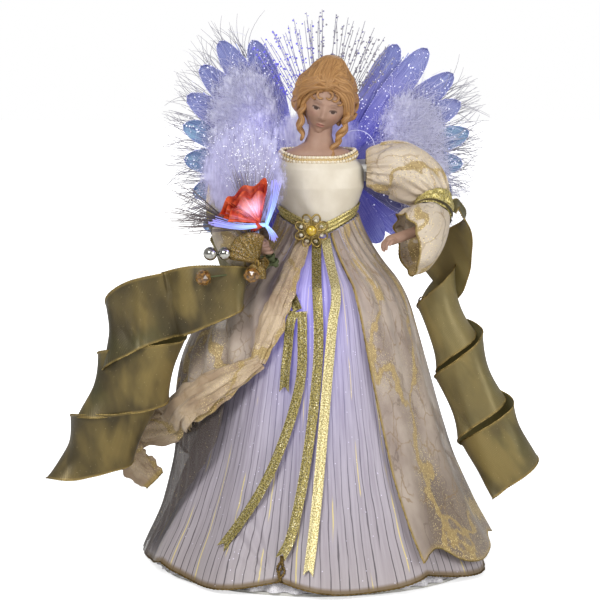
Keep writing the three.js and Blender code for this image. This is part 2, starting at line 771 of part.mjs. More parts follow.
// Heights of a skirt's rows: even ones from its hem, then the rows that all skirts share
function skirtRows(hem, angle) {
  const even = Array.from({ length: hemRows }, (_, i) => lerp(hem, skirtShoulder, i / hemRows));
  return [...even, ...waistRows.map((share) => lerp(skirtShoulder, skirtTop(angle), share))];
}
function drape(anglesAt, hemAt, radiusAt, thickness, wraps, columns) {
  const rowCount = hemRows + waistRows.length;
  const grids = [[], []];
  for (let r = 0; r < rowCount; r += 1) {
    const rows = [[], []];
    for (let c = 0; c < columns; c += 1) {
      const angle = anglesAt(c, r / (rowCount - 1));
      const z = skirtRows(hemAt(angle), angle)[r];
      rows[0].push(polar(angle, radiusAt(angle, z) + thickness, z));
      rows[1].push(polar(angle, radiusAt(angle, z), z));
    }
    grids[0].push(rows[0]);
    grids[1].push(rows[1]);
  }
  return sheet(grids[0], grids[1], wraps);
}

// Petticoat: stiff pleated netting that stands between the cone and the underskirt
const petticoatTop = coneH - petticoatTopDrop;
const petticoat = [0, 1].map((side) => Array.from({ length: petticoatRows + 1 }, (_, i) => {
  const z = lerp(petticoatHem, petticoatTop, i / petticoatRows);
  const valley = coneRadius(z) + fit + pleatT;
  const crest = skirtRadius(z) - foldAmp(z) - clothT - petticoatGap;
  return Array.from({ length: 2 * pleatCount }, (_unused, j) => (
    polar(turnOf(j, 2 * pleatCount), (j % 2 ? crest : valley) - side * pleatT, z)
  ));
}));
add('petticoat', sheet(petticoat[0], petticoat[1], true), '#f4f2f4', 0.8);

// Underskirt: round folds and a scalloped hem
const scallop = (angle) => 1 - Math.abs(Math.sin(scallopCount * (angle - degToRad(scallopAt)) / 2));
const hemAt = (angle) => hemUp + hemScallop * scallop(angle);
const underColumns = foldCount * foldColumns;
add('underskirt', drape(
  (c) => turnOf(c, underColumns),
  hemAt,
  (angle, z) => skirtAt(angle, z) + foldAmp(z) * Math.cos(foldCount * angle) - clothT,
  clothT,
  true,
  underColumns,
), '#cfc8dc', 0.45);

// Tulle over the right side, and the two overskirt panels
const openness = (z) => smoothstep(coneH + openHigh - z, 0, openHigh + openLow);
// The right side swells from the front edge to the back of its panel, most at two thirds of its height.
const puffAt = (angle, z) => {
  const height = clamp(z / skirtShoulder, 0, 1);
  return sidePuff * smoothstep(-Math.sin(angle), 0.5, 1) * Math.sin(Math.PI * height ** 2);
};
const overRadius = (angle, z) => {
  const fold = overFold * clamp(1 - z / coneH, 0, 1) * (1 + Math.cos(overFoldCount * angle)) / 2;
  return skirtAt(angle, z) + foldAmp(z) + puffAt(angle, z) + lerp(2 * fit, overGap, openness(z)) + fold;
};
const tulleGrid = [0, 1].map((side) => Array.from({ length: tulleRows + 1 }, (_, i) => {
  const z = lerp(tulleHem, coneH - tulleTopDrop, i / tulleRows);
  return Array.from({ length: tulleColumns + 1 }, (_unused, j) => {
    const angle = degToRad(lerp(...tulleAngles, j / tulleColumns));
    const radius = skirtAt(angle, z) + foldAmp(z) + puffAt(angle, z) + tulleGap;
    return polar(angle, radius + (1 - side) * tulleT, z);
  });
}));
add('tulle_panel', sheet(tulleGrid[0], tulleGrid[1], false), '#6d5f66', 0.7);
const shareOf = (c) => c / (overColumns - 1);
const leftEdgeAt = (g) => lerp(leftEdgeHem, leftEdgeTop, g) + leftEdgeSweep * (1 - g) ** 8;
add('overskirt_left', drape(
  (c, g) => degToRad(lerp(leftEdgeAt(g), backEdge, shareOf(c))),
  (angle) => leftHem + hemScallop * scallop(angle),
  overRadius,
  overT,
  false,
  overColumns,
), '#b49c86', 0.5);
const rightShare = (angle) => clamp((angle - degToRad(rightEdge)) / degToRad(-backEdge - rightEdge), 0, 1);
add('overskirt_right', drape(
  (c) => degToRad(lerp(rightEdge, -backEdge, shareOf(c))),
  (angle) => lerp(rightHemBack, rightHemFront * coneH, (1 - rightShare(angle)) ** 2),
  overRadius,
  overT,
  false,
  overColumns,
), '#b49c86', 0.5);

// Sash round the waist, dipping to a point at the front
const sashIn = bodiceOut + 3 * fit;
const sashGrid = [sashT, 0].map((out) => [-1, 1].map((edge) => (
  Array.from({ length: sashColumns }, (_, j) => {
    const angle = turnOf(j, sashColumns);
    const z = sashZ(angle) + edge * sashWidth / 2;
    return polar(angle, torsoRadius(angle, z, sashIn + out), z);
  })
)));
add('sash', sheet(sashGrid[0], sashGrid[1], true), '#a8923f', 0.4, 0.4);

// Brooch: a setting with petals, and a stone in its middle
const broochZ = sashZ(0);
const broochLow = broochZ - broochR * broochTall - petalR;
const broochBack = -(skirtAt(0, broochLow) + fit);
const alongY = (x, z, from, to, radius, facets) => rod(V(x, from, z), V(x, to, z), radius, radius, facets);
const broochFront = broochBack - broochT;
const petals = Array.from({ length: petalCount }, (_, i) => {
  const turn = turnOf(i, petalCount);
  const x = broochX + broochR * Math.cos(turn);
  const z = broochZ + broochR * broochTall * Math.sin(turn);
  return alongY(x, z, broochBack, broochFront + petalStep, petalR, 6);
});
const boss = alongY(broochX, broochZ, broochBack, broochFront, broochR * 0.85, 12);
const stoneSeat = alongY(broochX, broochZ, broochFront + gemSeat, broochFront - 1, gemR + 2 * fit, 12);
add('brooch_setting', carve([boss, ...petals], [stoneSeat]), '#8f7a3c', 0.4, 0.8);
const stoneFoot = broochFront + gemSeat - fit;
add('brooch_gem', turned([
  [0, stoneFoot],
  [gemR, stoneFoot],
  [gemR, stoneFoot - gemSeat],
  [gemR * 0.6, stoneFoot - gemR * 0.8],
  [0, stoneFoot - gemR],
].reverse(), 12).rotateX(-Math.PI / 2).translate(broochX, 0, broochZ), '#d8c426', 0.1);

// Sash tails: narrow ribbons that lie over the skirt
const tailTop = broochLow - seam;
function tail({ width, route }) {
  const way = route.map(([angle, drop]) => V(degToRad(angle), 0, tailTop - drop));
  const curve = new THREE.CatmullRomCurve3(way);
  const points = Array.from({ length: tailSteps + 1 }, (_, i) => {
    const p = curve.getPointAt((i / tailSteps) ** tailEase);
    const near = smoothstep(p.z, skirtShoulder + shoulderDrop, tailTop);
    const lift = lerp(tailGap, 2 * fit, near) + tailT / 2;
    return polar(p.x, skirtAt(p.x, p.z) + foldAmp(p.z) + lift, p.z);
  });
  const acrosses = points.map((p, i) => {
    const ahead = points[Math.min(i + 1, tailSteps)].clone().sub(points[Math.max(i - 1, 0)]);
    return ahead.cross(V(p.x, p.y, 0)).normalize();
  });
  const widths = points.map((p) => {
    const neck = smoothstep(p.z, tailTop - tailNeckL, tailTop);
    return Math.min(width, lerp(width, tailNeck, neck));
  });
  return ribbon(points, acrosses, widths, tailT);
}
for (const [name, shape] of Object.entries(tails)) {
  add(name, tail(shape), '#a8923f', 0.4, 0.4);
}

// Arms: a puffed sleeve on its stud, a band, a bell cuff and a hand, all along one curve
const edgeGap = 2 * fit;
const armSides = { left: 1, right: -1 };
const armCurves = {};
const bandStart = sleeveL + edgeGap;
const cuffStart = bandStart + bandL + edgeGap;
// The two rings at the ends of an arm's band, a radius from the arm's curve
function bandRings(curve, radius) {
  return ringsAlong(curve, bandStart, bandStart + bandL, 1, () => radius, sleeveFacets);
}
for (const [name, sign] of Object.entries(armSides)) {
  const reach = armReach[name].map(([out, front, up]) => (
    V(sign * (shoulderX + out), -front, shoulderZ + up)
  ));
  const curve = new THREE.CatmullRomCurve3([V(sign * shoulderX, 0, shoulderZ), ...reach]);
  armCurves[name] = curve;
  const swell = (share) => (sleeveR - sleeveHeadR) * Math.sin(Math.PI * share) ** 0.8;
  const puff = (share) => lerp(sleeveHeadR, bandR - 1, share) + swell(share);
  const socket = rod(
    V(sign * (shoulderX - 1), 0, shoulderZ),
    V(sign * (shoulderX + studL + fit), 0, shoulderZ),
    studR + fit,
  );
  const sleeve = loft(ringsAlong(curve, 0, sleeveL, sleeveSteps, puff, sleeveFacets));
  add(`sleeve_${name}`, carve([sleeve], [socket]), '#d9c9ae', 0.45);
  add(`cuff_band_${name}`, loft(bandRings(curve, bandR)), '#a8923f', 0.4, 0.4);
  const bell = (share) => lerp(bandR - 1, cuffR, share ** 0.7);
  const sag = cuffSag[name];
  const outside = loft(ringsAlong(curve, cuffStart, cuffStart + cuffL, cuffSteps, bell, sleeveFacets, sag));
  const hollow = (share) => bell(lerp(cuffCapT / cuffL, 1, share)) - cuffT;
  const cuffEnd = cuffStart + cuffL + 1;
  const inside = loft(ringsAlong(curve, cuffStart + cuffCapT, cuffEnd, cuffSteps, hollow, sleeveFacets, sag));
  add(`bell_cuff_${name}`, carve([outside], [inside]), '#d9c9ae', 0.45);
}

// Hands: the left one lies open, the right one is a fist round the bouquet's stem
const handStart = cuffStart + cuffCapT + fit;
const handForm = new THREE.SplineCurve(
  [palmR, wristR, wristR, palmR, fingerR].map((r, i) => new THREE.Vector2(i, r)),
);
const handShape = (share) => handForm.getPoint(share).y;
const handOf = (name) => {
  const curve = armCurves[name];
  return loft(ringsAlong(curve, handStart, curve.getLength(), handSteps, handShape, handSides));
};
add('hand_left', handOf('left'), '#d2a184', 0.6);
const fist = armCurves.right.getPointAt(1);
const stemAxis = V(...stemLean).normalize();
const onStem = (along) => fist.clone().addScaledVector(stemAxis, along);
const stemCut = rod(onStem(-stemDown - 5), onStem(stemUp + 5), stemR + fit, stemR + fit, 12);
const fistBall = ball(fist, [fistR, fistR, fistR], headTurn);
add('hand_right', carve([handOf('right'), fistBall], [stemCut]), '#d2a184', 0.6);

// Bouquet: a stem, and sprigs that are each tied to it by a collar
add('bouquet_stem', rod(onStem(-stemDown), onStem(stemUp), stemR, stemR, 12), '#4c5a34', 0.7);
const collarAt = (along) => rod(onStem(along), onStem(along + sprigCollarH), sprigCollarR, sprigCollarR, 12);
const collarPitch = sprigCollarH + fit;
const lowerCollar = (index) => -fistR - index * collarPitch;
const upperCollar = (index) => fistR + fit + index * collarPitch;
function berries(along, centres, radius) {
  const root = onStem(along + sprigCollarH / 2);
  const pieces = centres.flatMap((centre) => {
    const at = fist.clone().add(V(...centre));
    const start = root.clone().lerp(at, (stemR + berryWireR) / root.distanceTo(at));
    return [rod(start, at, berryWireR, berryWireR, 6), ball(at, [radius, radius, radius], headTurn)];
  });
  return carve([collarAt(along), ...pieces], [stemCut]);
}
add('silver_berries', berries(lowerCollar(2), silverAt, silverR), '#b9b9b4', 0.15, 1);
add('amber_berries', berries(lowerCollar(4), amberAt, amberR), '#a5701c', 0.15);

// Needles stand off a twig, each turned on from the one before.
const twigRoot = onStem(upperCollar(0) + sprigCollarH / 2);
const twigDir = V(...twigWay).normalize();
const onTwig = (along) => twigRoot.clone().addScaledVector(twigDir, along);
const twig = rod(onTwig(stemR + 1), onTwig(twigL), twigR, twigR / 2, 6);
const needles = Array.from({ length: needleCount }, (_, i) => {
  const turn = needleTurn * i;
  const root = onTwig(lerp(sprigCollarR * 2, twigL - 1, i / (needleCount - 1)));
  const splay = V(0, needleSplay[1] * Math.cos(turn), needleSplay[0] * Math.sin(turn));
  const dir = twigDir.clone().add(splay).normalize();
  return [root, root.clone().addScaledVector(dir, needleL * (1 - fanRagged * Math.abs(Math.cos(2.4 * i))))];
});
add('bouquet_needles', brush(carve([collarAt(upperCollar(0)), twig]), needles, [stemCut]), '#6b5a48', 0.6);

// Fibres leave a collar in a fan between two directions, each a little off its neighbours.
function fanOf(along, [from, to], count, length) {
  const root = onStem(along + sprigCollarH / 2);
  return Array.from({ length: count }, (_, i) => {
    const layer = (i % 3) - 1;
    const lean = V(...fanLean).multiplyScalar(layer);
    const dir = V(...from).lerp(V(...to), i / (count - 1)).normalize().add(lean).normalize();
    const reach = length * (1 - fanRagged + fanRagged * Math.abs(Math.sin(2.4 * i)));
    const out = dir.clone().addScaledVector(stemAxis, -dir.dot(stemAxis)).normalize();
    const start = root.clone().addScaledVector(out, sprigCollarR - strandR - 2 * fit / 3);
    start.addScaledVector(stemAxis, layer * sprigCollarH * 0.29);
    return [start, start.clone().addScaledVector(dir, reach)];
  });
}
const sprayFan = fanOf(upperCollar(2), sprayWays, sprayCount, sprayL);
add('bouquet_fibres', brush(collarAt(upperCollar(2)), sprayFan, [stemCut]), '#9aa2ff', 0.3);
const flowerFoot = upperCollar(3) + flowerLift;
const flowerSide = stemAxis.clone().cross(V(1, 0, 0)).normalize();
const flowerUp = flowerSide.clone().cross(stemAxis);
const flowerRings = flowerForm.map(([up, out]) => (
  Array.from({ length: flowerSides }, (_, j) => {
    const turn = turnOf(j, flowerSides);
    const r = flowerR * out * (1 + ruffleDepth * up * Math.cos(flowerRuffles * turn));
    const point = onStem(flowerFoot + up * flowerH).addScaledVector(flowerSide, r * Math.cos(turn));
    return point.addScaledVector(flowerUp, r * Math.sin(turn));
  })
));
add('bouquet_flower', carve([loft(flowerRings)], [stemCut]), '#c93a22', 0.25);
const bowKnot = fist.clone().addScaledVector(V(...bowWay).normalize(), fistR + knotR + fit);
const lobesOfBow = bowLobes.map(({ at, r, turn }) => (
  ball(bowKnot.clone().add(V(...at)), r, new THREE.Euler(...turn))
));
const knot = ball(bowKnot, [knotR, knotR, knotR], headTurn, 8);
add('bouquet_bow', carve([knot, ...lobesOfBow]), '#a8862c', 0.4, 0.4);

const overCone = ([x, y, up]) => V(x, y, coneH + up);
// Stole: a loop round the arm's band, a lead and a ribbon that winds down round a falling axis
function stole(name) {
  const sign = armSides[name];
  const curve = armCurves[name];
  const loop = sheet(bandRings(curve, bandR + fit + stoleT), bandRings(curve, bandR + fit), true);
  const axis = new THREE.CatmullRomCurve3(stoleAxis[name].map(([share, clear, y]) => (
    V(sign * (skirtRadius(share * coneH) + clear), y, share * coneH)
  )));
  const points = [];
  const acrosses = [];
  const fullTurn = 2 * Math.PI * stoleTurns[name];
  const turnAt = (wound) => degToRad(stoleStart[name]) - fullTurn * wound;
  const fallAt = (wound) => wound + stoleStep * (Math.cos(turnAt(wound)) - Math.cos(turnAt(0))) / fullTurn;
  const steps = Math.round(stoleTurns[name] * stoleStepsPerTurn);
  for (let i = 0; i <= steps; i += 1) {
    const wound = i / steps;
    const share = clamp(fallAt(wound) / fallAt(1), 0, 1);
    const turn = turnAt(wound);
    const halfX = lerp(...stoleHalfX[name], wound);
    const out = V(...stoleSide[name]).multiplyScalar(halfX * Math.cos(turn));
    out.y += stoleHalfY * Math.sin(turn);
    points.push(axis.getPointAt(share).add(out));
    acrosses.push(axis.getTangentAt(share).negate());
  }
  const bandMiddle = (bandStart + bandL / 2) / curve.getLength();
  const arm = curve.getPointAt(bandMiddle);
  const armWay = curve.getTangentAt(bandMiddle);
  const lead = stoleLead[name].map(overCone);
  const away = lead[0].clone().sub(arm);
  away.addScaledVector(armWay, -away.dot(armWay)).normalize();
  const start = arm.clone().addScaledVector(away, bandR + fit);
  const leadCount = leadSteps[name];
  const leadCurve = new THREE.CatmullRomCurve3([start, ...lead, points[0]]);
  const leadPoints = leadCurve.getSpacedPoints(leadCount).slice(0, leadCount);
  const firstAcross = armWay.clone().multiplyScalar(Math.sign(armWay.dot(acrosses[0])) || 1);
  const leadAcross = leadPoints.map((_, i) => (
    firstAcross.clone().lerp(acrosses[0], smoothstep(i / leadCount, 0, 0.5)).normalize()
  ));
  const leadWidth = leadPoints.map((_, i) => (
    lerp(bandL - 2 * fit, stoleWidth, smoothstep(i / leadCount, ...leadEase[name]))
  ));
  const strip = ribbon(
    [...leadPoints, ...points],
    [...leadAcross, ...acrosses],
    [...leadWidth, ...points.map(() => stoleWidth)],
    stoleT,
  );
  let leastGap = Infinity;
  for (let i = 0; i + stoleStepsPerTurn <= steps; i += 1) {
    const gap = points[i].distanceTo(points[i + stoleStepsPerTurn]) - stoleWidth;
    leastGap = Math.min(leastGap, gap);
  }
  console.log(`stole_${name}: least gap between turns ${leastGap.toFixed(2)} mm`);
  return [strip, loop];
}
add('stole_left', carve(stole('left')), '#7a6a2c', 0.45, 0.2);
add('stole_right', carve(stole('right')), '#7a6a2c', 0.45, 0.2);

// Bracket on the figure's back, with pegs, hinge ears and pins
const hingeLow = hingeZ - hingeHalfH;
const hingeHigh = hingeZ + hingeHalfH;
const bracketPieces = [box([-plateHalfW, plateY, hingeLow], [plateHalfW, plateY + plateT, hingeHigh])];
for (const side of [-1, 1]) {
  const x = side * hingeX;
  bracketPieces.push(rod(V(side * pegX, plateY - pegL, hingeZ), V(side * pegX, plateY + 1, hingeZ), pegR));
  for (const low of [hingeLow, hingeHigh - earT]) {
    bracketPieces.push(box([x - barrelR, plateY + 1, low], [x + barrelR, hingeY, low + earT]));
    bracketPieces.push(rod(V(x, hingeY, low), V(x, hingeY, low + earT), barrelR));
  }
  bracketPieces.push(rod(V(x, hingeY, hingeLow + 1), V(x, hingeY, hingeHigh - 1), pinR));
}
add('back_bracket', carve(bracketPieces, [trunkExit]), '#e8e6e0', 0.5);

// Wings: a root on its pin, a lobed panel, a plume in front and light fibres behind
const panelFront = hingeY + rootArmT / 2 + fit;
const panelBack = panelFront + wingPanelT;
const panelInner = hingeX + barrelR + 2 * fit + 1;
const wingZ = hingeZ + wingUp;
const farAway = 2 * (coneH + coneBaseR);
function wing() {
  const barrelLow = V(hingeX, hingeY, hingeLow + earT + fit);
  const barrel = rod(barrelLow, V(hingeX, hingeY, hingeHigh - earT - fit), barrelR);
  const arm = box(
    [hingeX, hingeY - rootArmT / 2, hingeLow + earT + 1],
    [hingeX + rootArmL, hingeY + rootArmT / 2, hingeHigh - earT - 1],
  );
  const bore = rod(V(hingeX, hingeY, hingeLow), V(hingeX, hingeY, hingeHigh), pinR + fit);
  const lobes = lobeAngles.map((angle, i) => {
    const reach = lobeLengths[i];
    const shape = new THREE.Shape();
    shape.moveTo(lobeR, -2);
    shape.quadraticCurveTo(reach * 0.5, -lobeR, reach - lobeR, -lobeR);
    shape.absarc(reach - lobeR, 0, lobeR, -Math.PI / 2, Math.PI / 2);
    shape.quadraticCurveTo(reach * 0.5, lobeR, lobeR, 2);
    return flat(shape, degToRad(angle));
  });
  const fan = new THREE.Shape();
  fan.moveTo(0, 0);
  fan.absarc(0, 0, wingFanR, degToRad(lobeAngles[lobeAngles.length - 1]), degToRad(lobeAngles[0]));
  const keepOff = box([-farAway, -farAway, -farAway], [panelInner, farAway, farAway]);
  const panel = [flat(fan, 0), ...lobes];
  const plume = plumeForm.map(({ at, r, lean }) => (
    ball(V(at[0], panelFront, wingZ + at[1]), r, new THREE.Euler(0, lean, 0))
  ));
  const behindPlume = box([-farAway, panelFront - fit, -farAway], [farAway, farAway, farAway]);
  const armRoom = box(
    [-farAway, hingeY - rootArmT / 2 - fit, hingeLow + earT + 1 - fit],
    [hingeX + rootArmL + fit, farAway, hingeHigh - earT - 1 + fit],
  );
  const sliceX = panelInner + 2;
  const sliceY = panelBack + fit;
  const slice = box(
    [sliceX, sliceY, wingZ - fibreSlice.halfH],
    [sliceX + fibreSlice.width, sliceY + fibreSlice.depth, wingZ + fibreSlice.halfH],
  );
  const fibres = lobeAngles.flatMap((angle, i) => [-fibreTurn, fibreTurn].map((turn) => {
    const dir = V(Math.cos(degToRad(angle + turn)), 0, Math.sin(degToRad(angle + turn)));
    const rise = (fibreSlice.halfH - 2) * dir.z;
    const root = V(sliceX + fibreSlice.width / 2, sliceY + fibreSlice.depth / 2, wingZ + rise);
    const reach = lobeLengths[i] * fibreShare - (root.x - wingRootX);
    return [root, root.clone().addScaledVector(dir, reach)];
  }));
  return {
    wing_root_left: [carve([barrel, arm], [bore]), '#e8e6e0', 0.5],
    wing_panel_left: [carve(panel, [keepOff]), '#a9a6e6', 0.35],
    wing_plume_left: [carve(plume, [behindPlume, armRoom, keepOff]), '#e7e2f2', 0.9],
    wing_fibres_left: [brush(slice, fibres), '#8f94ff', 0.3],
  };

  function flat(shape, angle) {
    const options = { depth: wingPanelT, bevelEnabled: false, curveSegments: 3 };
    const geometry = new THREE.ExtrudeGeometry(shape, options);
    geometry.rotateZ(angle).rotateX(Math.PI / 2);
    return geometry.translate(wingRootX, panelBack, wingZ);
  }
}
// A shape's image in the plane between the two sides, with its faces pointing out again
function mirror(geometry) {
  return facingOut(geometry.clone().scale(-1, 1, 1));
}
for (const [name, [geometry, color, roughness]] of Object.entries(wing())) {
  add(name, geometry, color, roughness);
  add(name.replace('left', 'right'), mirror(geometry), color, roughness);
}

// Halo: a holder on the bracket, with a slice of backing that its strands stand in
const haloY = plateY + plateT + haloSliceT / 2 + fit;
const holderLow = hingeHigh + fit;
const sliceLow = holderLow + haloWall;
const holder = box(
  [haloX - haloSliceW / 2 - haloWall, plateY, holderLow],
  [haloX + haloSliceW / 2 + haloWall, haloY + haloSliceT / 2 + haloWall, sliceLow + haloSliceH - haloWall],
);
const holderSlot = box(
  [haloX - haloSliceW / 2 - fit, haloY - haloSliceT / 2 - fit, sliceLow - fit],
  [haloX + haloSliceW / 2 + fit, haloY + haloSliceT / 2 + fit, sliceLow + haloSliceH],
);
add('halo_holder', carve([holder], [holderSlot]), '#e8e6e0', 0.5);
const haloSlice = box(
  [haloX - haloSliceW / 2, haloY - haloSliceT / 2, sliceLow],
  [haloX + haloSliceW / 2, haloY + haloSliceT / 2, sliceLow + haloSliceH],
);
const haloStrands = Array.from({ length: haloCount }, (_, i) => {
  const share = i / (haloCount - 1) - 0.5;
  const angle = degToRad(2 * haloSpread * share);
  const layer = ((i % 3) - 1) * haloLayer;
  const root = V(haloX + share * (haloSliceW - 2), haloY + layer, sliceLow + haloSliceH - 1);
  const reach = haloL * (1 - haloRagged + haloRagged * Math.abs(Math.cos(2.1 * i)));
  return [root, root.clone().add(V(Math.sin(angle) * reach, 0, Math.cos(angle) * reach))];
});
add('halo_spray', brush(haloSlice, haloStrands), '#aab0e8', 0.3);

export default parts;
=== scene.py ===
"""An angel tree topper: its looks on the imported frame. Lengths are in millimetres until a mesh is made."""
import math
import bmesh
import bpy
import numpy as np
from numpy import array, cos, interp, radians, sin
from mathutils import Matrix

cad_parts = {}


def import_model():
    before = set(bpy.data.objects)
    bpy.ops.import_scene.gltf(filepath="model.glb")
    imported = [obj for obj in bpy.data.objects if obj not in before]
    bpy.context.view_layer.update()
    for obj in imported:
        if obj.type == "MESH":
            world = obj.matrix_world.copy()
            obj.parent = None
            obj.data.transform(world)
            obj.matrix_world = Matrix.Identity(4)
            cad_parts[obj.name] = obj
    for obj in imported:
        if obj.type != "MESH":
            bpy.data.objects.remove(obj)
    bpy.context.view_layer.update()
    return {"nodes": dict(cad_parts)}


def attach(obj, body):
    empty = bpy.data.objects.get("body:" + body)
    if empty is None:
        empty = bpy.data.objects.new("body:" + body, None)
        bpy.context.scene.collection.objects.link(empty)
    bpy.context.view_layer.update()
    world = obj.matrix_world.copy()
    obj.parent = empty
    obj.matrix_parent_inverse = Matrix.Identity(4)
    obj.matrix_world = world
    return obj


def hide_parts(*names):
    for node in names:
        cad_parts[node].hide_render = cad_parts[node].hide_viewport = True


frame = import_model()

MM = 0.001
PI = math.pi
TAU = 2 * math.pi


def lerp(a, b, share):
    return a + (b - a) * share


def smooth(value, low, high):
    share = np.clip((value - low) / (high - low), 0, 1)
    return share * share * (3 - 2 * share)


def bell(value, middle, width):
    return np.exp(-((value - middle) / width) ** 2)


def dome(share):
    """Height of a round dome at a share of its radius."""
    return np.sqrt(np.maximum(1 - share ** 2, 0))


def unit(vectors):
    return vectors / np.maximum(np.linalg.norm(vectors, axis=-1, keepdims=True), 1e-9)


def steps(count, low=0.0, high=1.0):
    return np.linspace(low, high, count)


def rows(count, low=0.0, high=1.0):
    """Even steps from row to row of a grid."""
    return steps(count, low, high)[:, None]


def columns(count, low=0.0, high=1.0):
    """Even steps from column to column of a grid."""
    return steps(count, low, high)[None]


def join(*parts):
    """Points, or places in a pattern, from their coordinates."""
    return np.stack(np.broadcast_arrays(*parts), -1)


def polar(angle, radius, z):
    """Points at an angle from the front, where the figure's left is positive."""
    return join(radius * sin(angle), -radius * cos(angle), z)


def lengths(path):
    """Distance along a path at each of its points."""
    return np.r_[0, np.cumsum(np.linalg.norm(np.diff(path, axis=0), axis=1))]


def sample(at, where, path):
    """A path at some values of what its points are measured by."""
    return np.stack([interp(at, where, column) for column in path.T], -1)


def spline(points, count):
    """Evenly spaced points on a smooth curve through the given ones."""
    p = array(points, float)
    p = np.vstack([2 * p[0] - p[1], p, 2 * p[-1] - p[-2]])
    t = rows(33)[:-1]
    pieces = []
    for a, b, c, d in zip(p, p[1:], p[2:], p[3:]):
        square = (2 * a - 5 * b + 4 * c - d) * t ** 2
        cube = (3 * b - a - 3 * c + d) * t ** 3
        pieces.append((2 * b + (c - a) * t + square + cube) / 2)
    dense = np.vstack(pieces + [p[-2:-1]])
    length = lengths(dense)
    return sample(steps(count, 0, length[-1]), length, dense)


def straight(start, way, reach, t):
    """Straight paths from their starts, ways and lengths."""
    return start[:, None] + way[:, None] * (reach[:, None] * t)[..., None]


def put_in_scene(name, data):
    obj = bpy.data.objects.new(name, data)
    bpy.context.scene.collection.objects.link(obj)
    return obj


def ball_form(level):
    """Points and faces of a small round ball."""
    mesh = bmesh.new()
    bmesh.ops.create_icosphere(mesh, subdivisions=level, radius=1)
    points = array([v.co[:] for v in mesh.verts])
    faces = array([[v.index for v in f.verts] for f in mesh.faces])
    mesh.free()
    return points, faces


BALLS = {level: ball_form(level) for level in (1, 2, 3)}
AWAY = unit(array([0.31, 0.93, 0.17]))
VALUES = ("tone", "glow", "edge", "along")
LOOKS = {}


class Shape:
    """A piece's points and faces, gathered from grids, tubes and balls, with values for its material."""

    def __init__(self):
        self.points, self.faces, self.uvs = [], [], []
        self.values = {key: [] for key in VALUES}
        self.count = 0

    def add(self, points, faces, uv, values):
        spread = points.shape[:-1]
        self.points.append(points.reshape(-1, 3))
        self.faces += (faces.reshape(-1, faces.shape[-1]) + self.count).tolist()
        self.uvs.append(np.broadcast_to(uv, spread + (2,)).reshape(-1, 2))
        for key in VALUES:
            self.values[key].append(np.broadcast_to(values.get(key, 0.0), spread).ravel())
        self.count += points.size // 3
        return self

    def grid(self, points, uv, **values):
        """A sheet of rows and columns; its front shows rows upwards and columns to the right."""
        many, wide = points.shape[:2]
        corner = np.arange(many - 1)[:, None] * wide + np.arange(wide - 1)
        return self.add(points, corner[..., None] + [0, 1, 1 + wide, wide], join(*uv), values)

    def tubes(self, paths, radii, sides=4, **values):
        """Tubes of equal point counts, or one tube; a value is one for all or one for each path."""
        paths = paths.reshape((-1,) + paths.shape[-2:])
        many, long = paths.shape[:2]
        along = unit(np.gradient(paths, axis=1))
        side = unit(np.cross(along, AWAY))
        up = np.cross(side, along)
        turn = np.arange(sides)[:, None] * TAU / sides
        ring = side[:, :, None] * cos(turn) + up[:, :, None] * sin(turn)
        points = paths[:, :, None] + ring * np.broadcast_to(radii, (many, long))[:, :, None, None]
        start = (np.arange(many)[:, None, None] * long + np.arange(long - 1)[:, None]) * sides
        a = start + np.arange(sides)
        b = start + (np.arange(sides) + 1) % sides
        spread = {key: np.reshape(value, np.shape(value) + (1, 1)) for key, value in values.items()}
        spread["along"] = rows(long)
        uv = join(np.arange(sides) / sides, rows(long))
        return self.add(points, join(a, a + sides, b + sides, b), uv, spread)

    def twine(self, path, radius, swing, pace, sides=5, start=0):
        """A twisted cord along a path, whose radius swings from point to point."""
        return self.tubes(path, radius + swing * sin(np.arange(len(path)) * pace + start), sides)

    def beads(self, centres, radii, level=1, **values):
        """Balls at points, or one ball; a radius is one number, one a ball or three a ball."""
        form, faces = BALLS[level]
        centres = np.reshape(centres, (-1, 1, 3))
        radii = np.asarray(radii, float)
        radii = np.broadcast_to(radii[:, None] if radii.ndim == 1 else radii, (len(centres), 3))
        start = np.arange(len(centres))[:, None, None] * len(form)
        spread = {key: np.reshape(value, (-1, 1)) for key, value in values.items()}
        return self.add(centres + form * radii[:, None], faces + start, form[:, :2], spread)

    def make(self, name, body, look, slot, *replaced, flat=None, held="gathered", on=None):
        """The piece on its body; a sheet's flat size is measured against its area to no effect, and how it is
        held and what it rests on are not used.
        """
        mesh = bpy.data.meshes.new(name)
        mesh.from_pydata((np.vstack(self.points) * MM).tolist(), [], self.faces)
        mesh.shade_smooth()
        for key in VALUES:
            layer = mesh.attributes.new(key, "FLOAT", "POINT")
            layer.data.foreach_set("value", np.concatenate(self.values[key]).astype(np.float32))
        corners = np.empty(len(mesh.loops), np.int32)
        mesh.loops.foreach_get("vertex_index", corners)
        layer = mesh.uv_layers.new(name="UVMap")
        layer.data.foreach_set("uv", np.vstack(self.uvs)[corners].astype(np.float32).ravel())
        mesh.materials.append(LOOKS[look])
        obj = put_in_scene(name, mesh)
        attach(obj, body)
        if replaced:
            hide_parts(*replaced)
        if flat:
            area = sum(face.area for face in mesh.polygons)
            min(area, flat[0] * flat[1])
        return obj


# Materials

def colour(code, level=1.0):
    """A colour, brightened or darkened, from its code on a screen."""
    share = array([int(code[i:i + 2], 16) for i in (1, 3, 5)]) / 255
    linear = np.where(share <= 0.04045, share / 12.92, ((share + 0.055) / 1.055) ** 2.4)
    return (*(level * linear), 1.0)


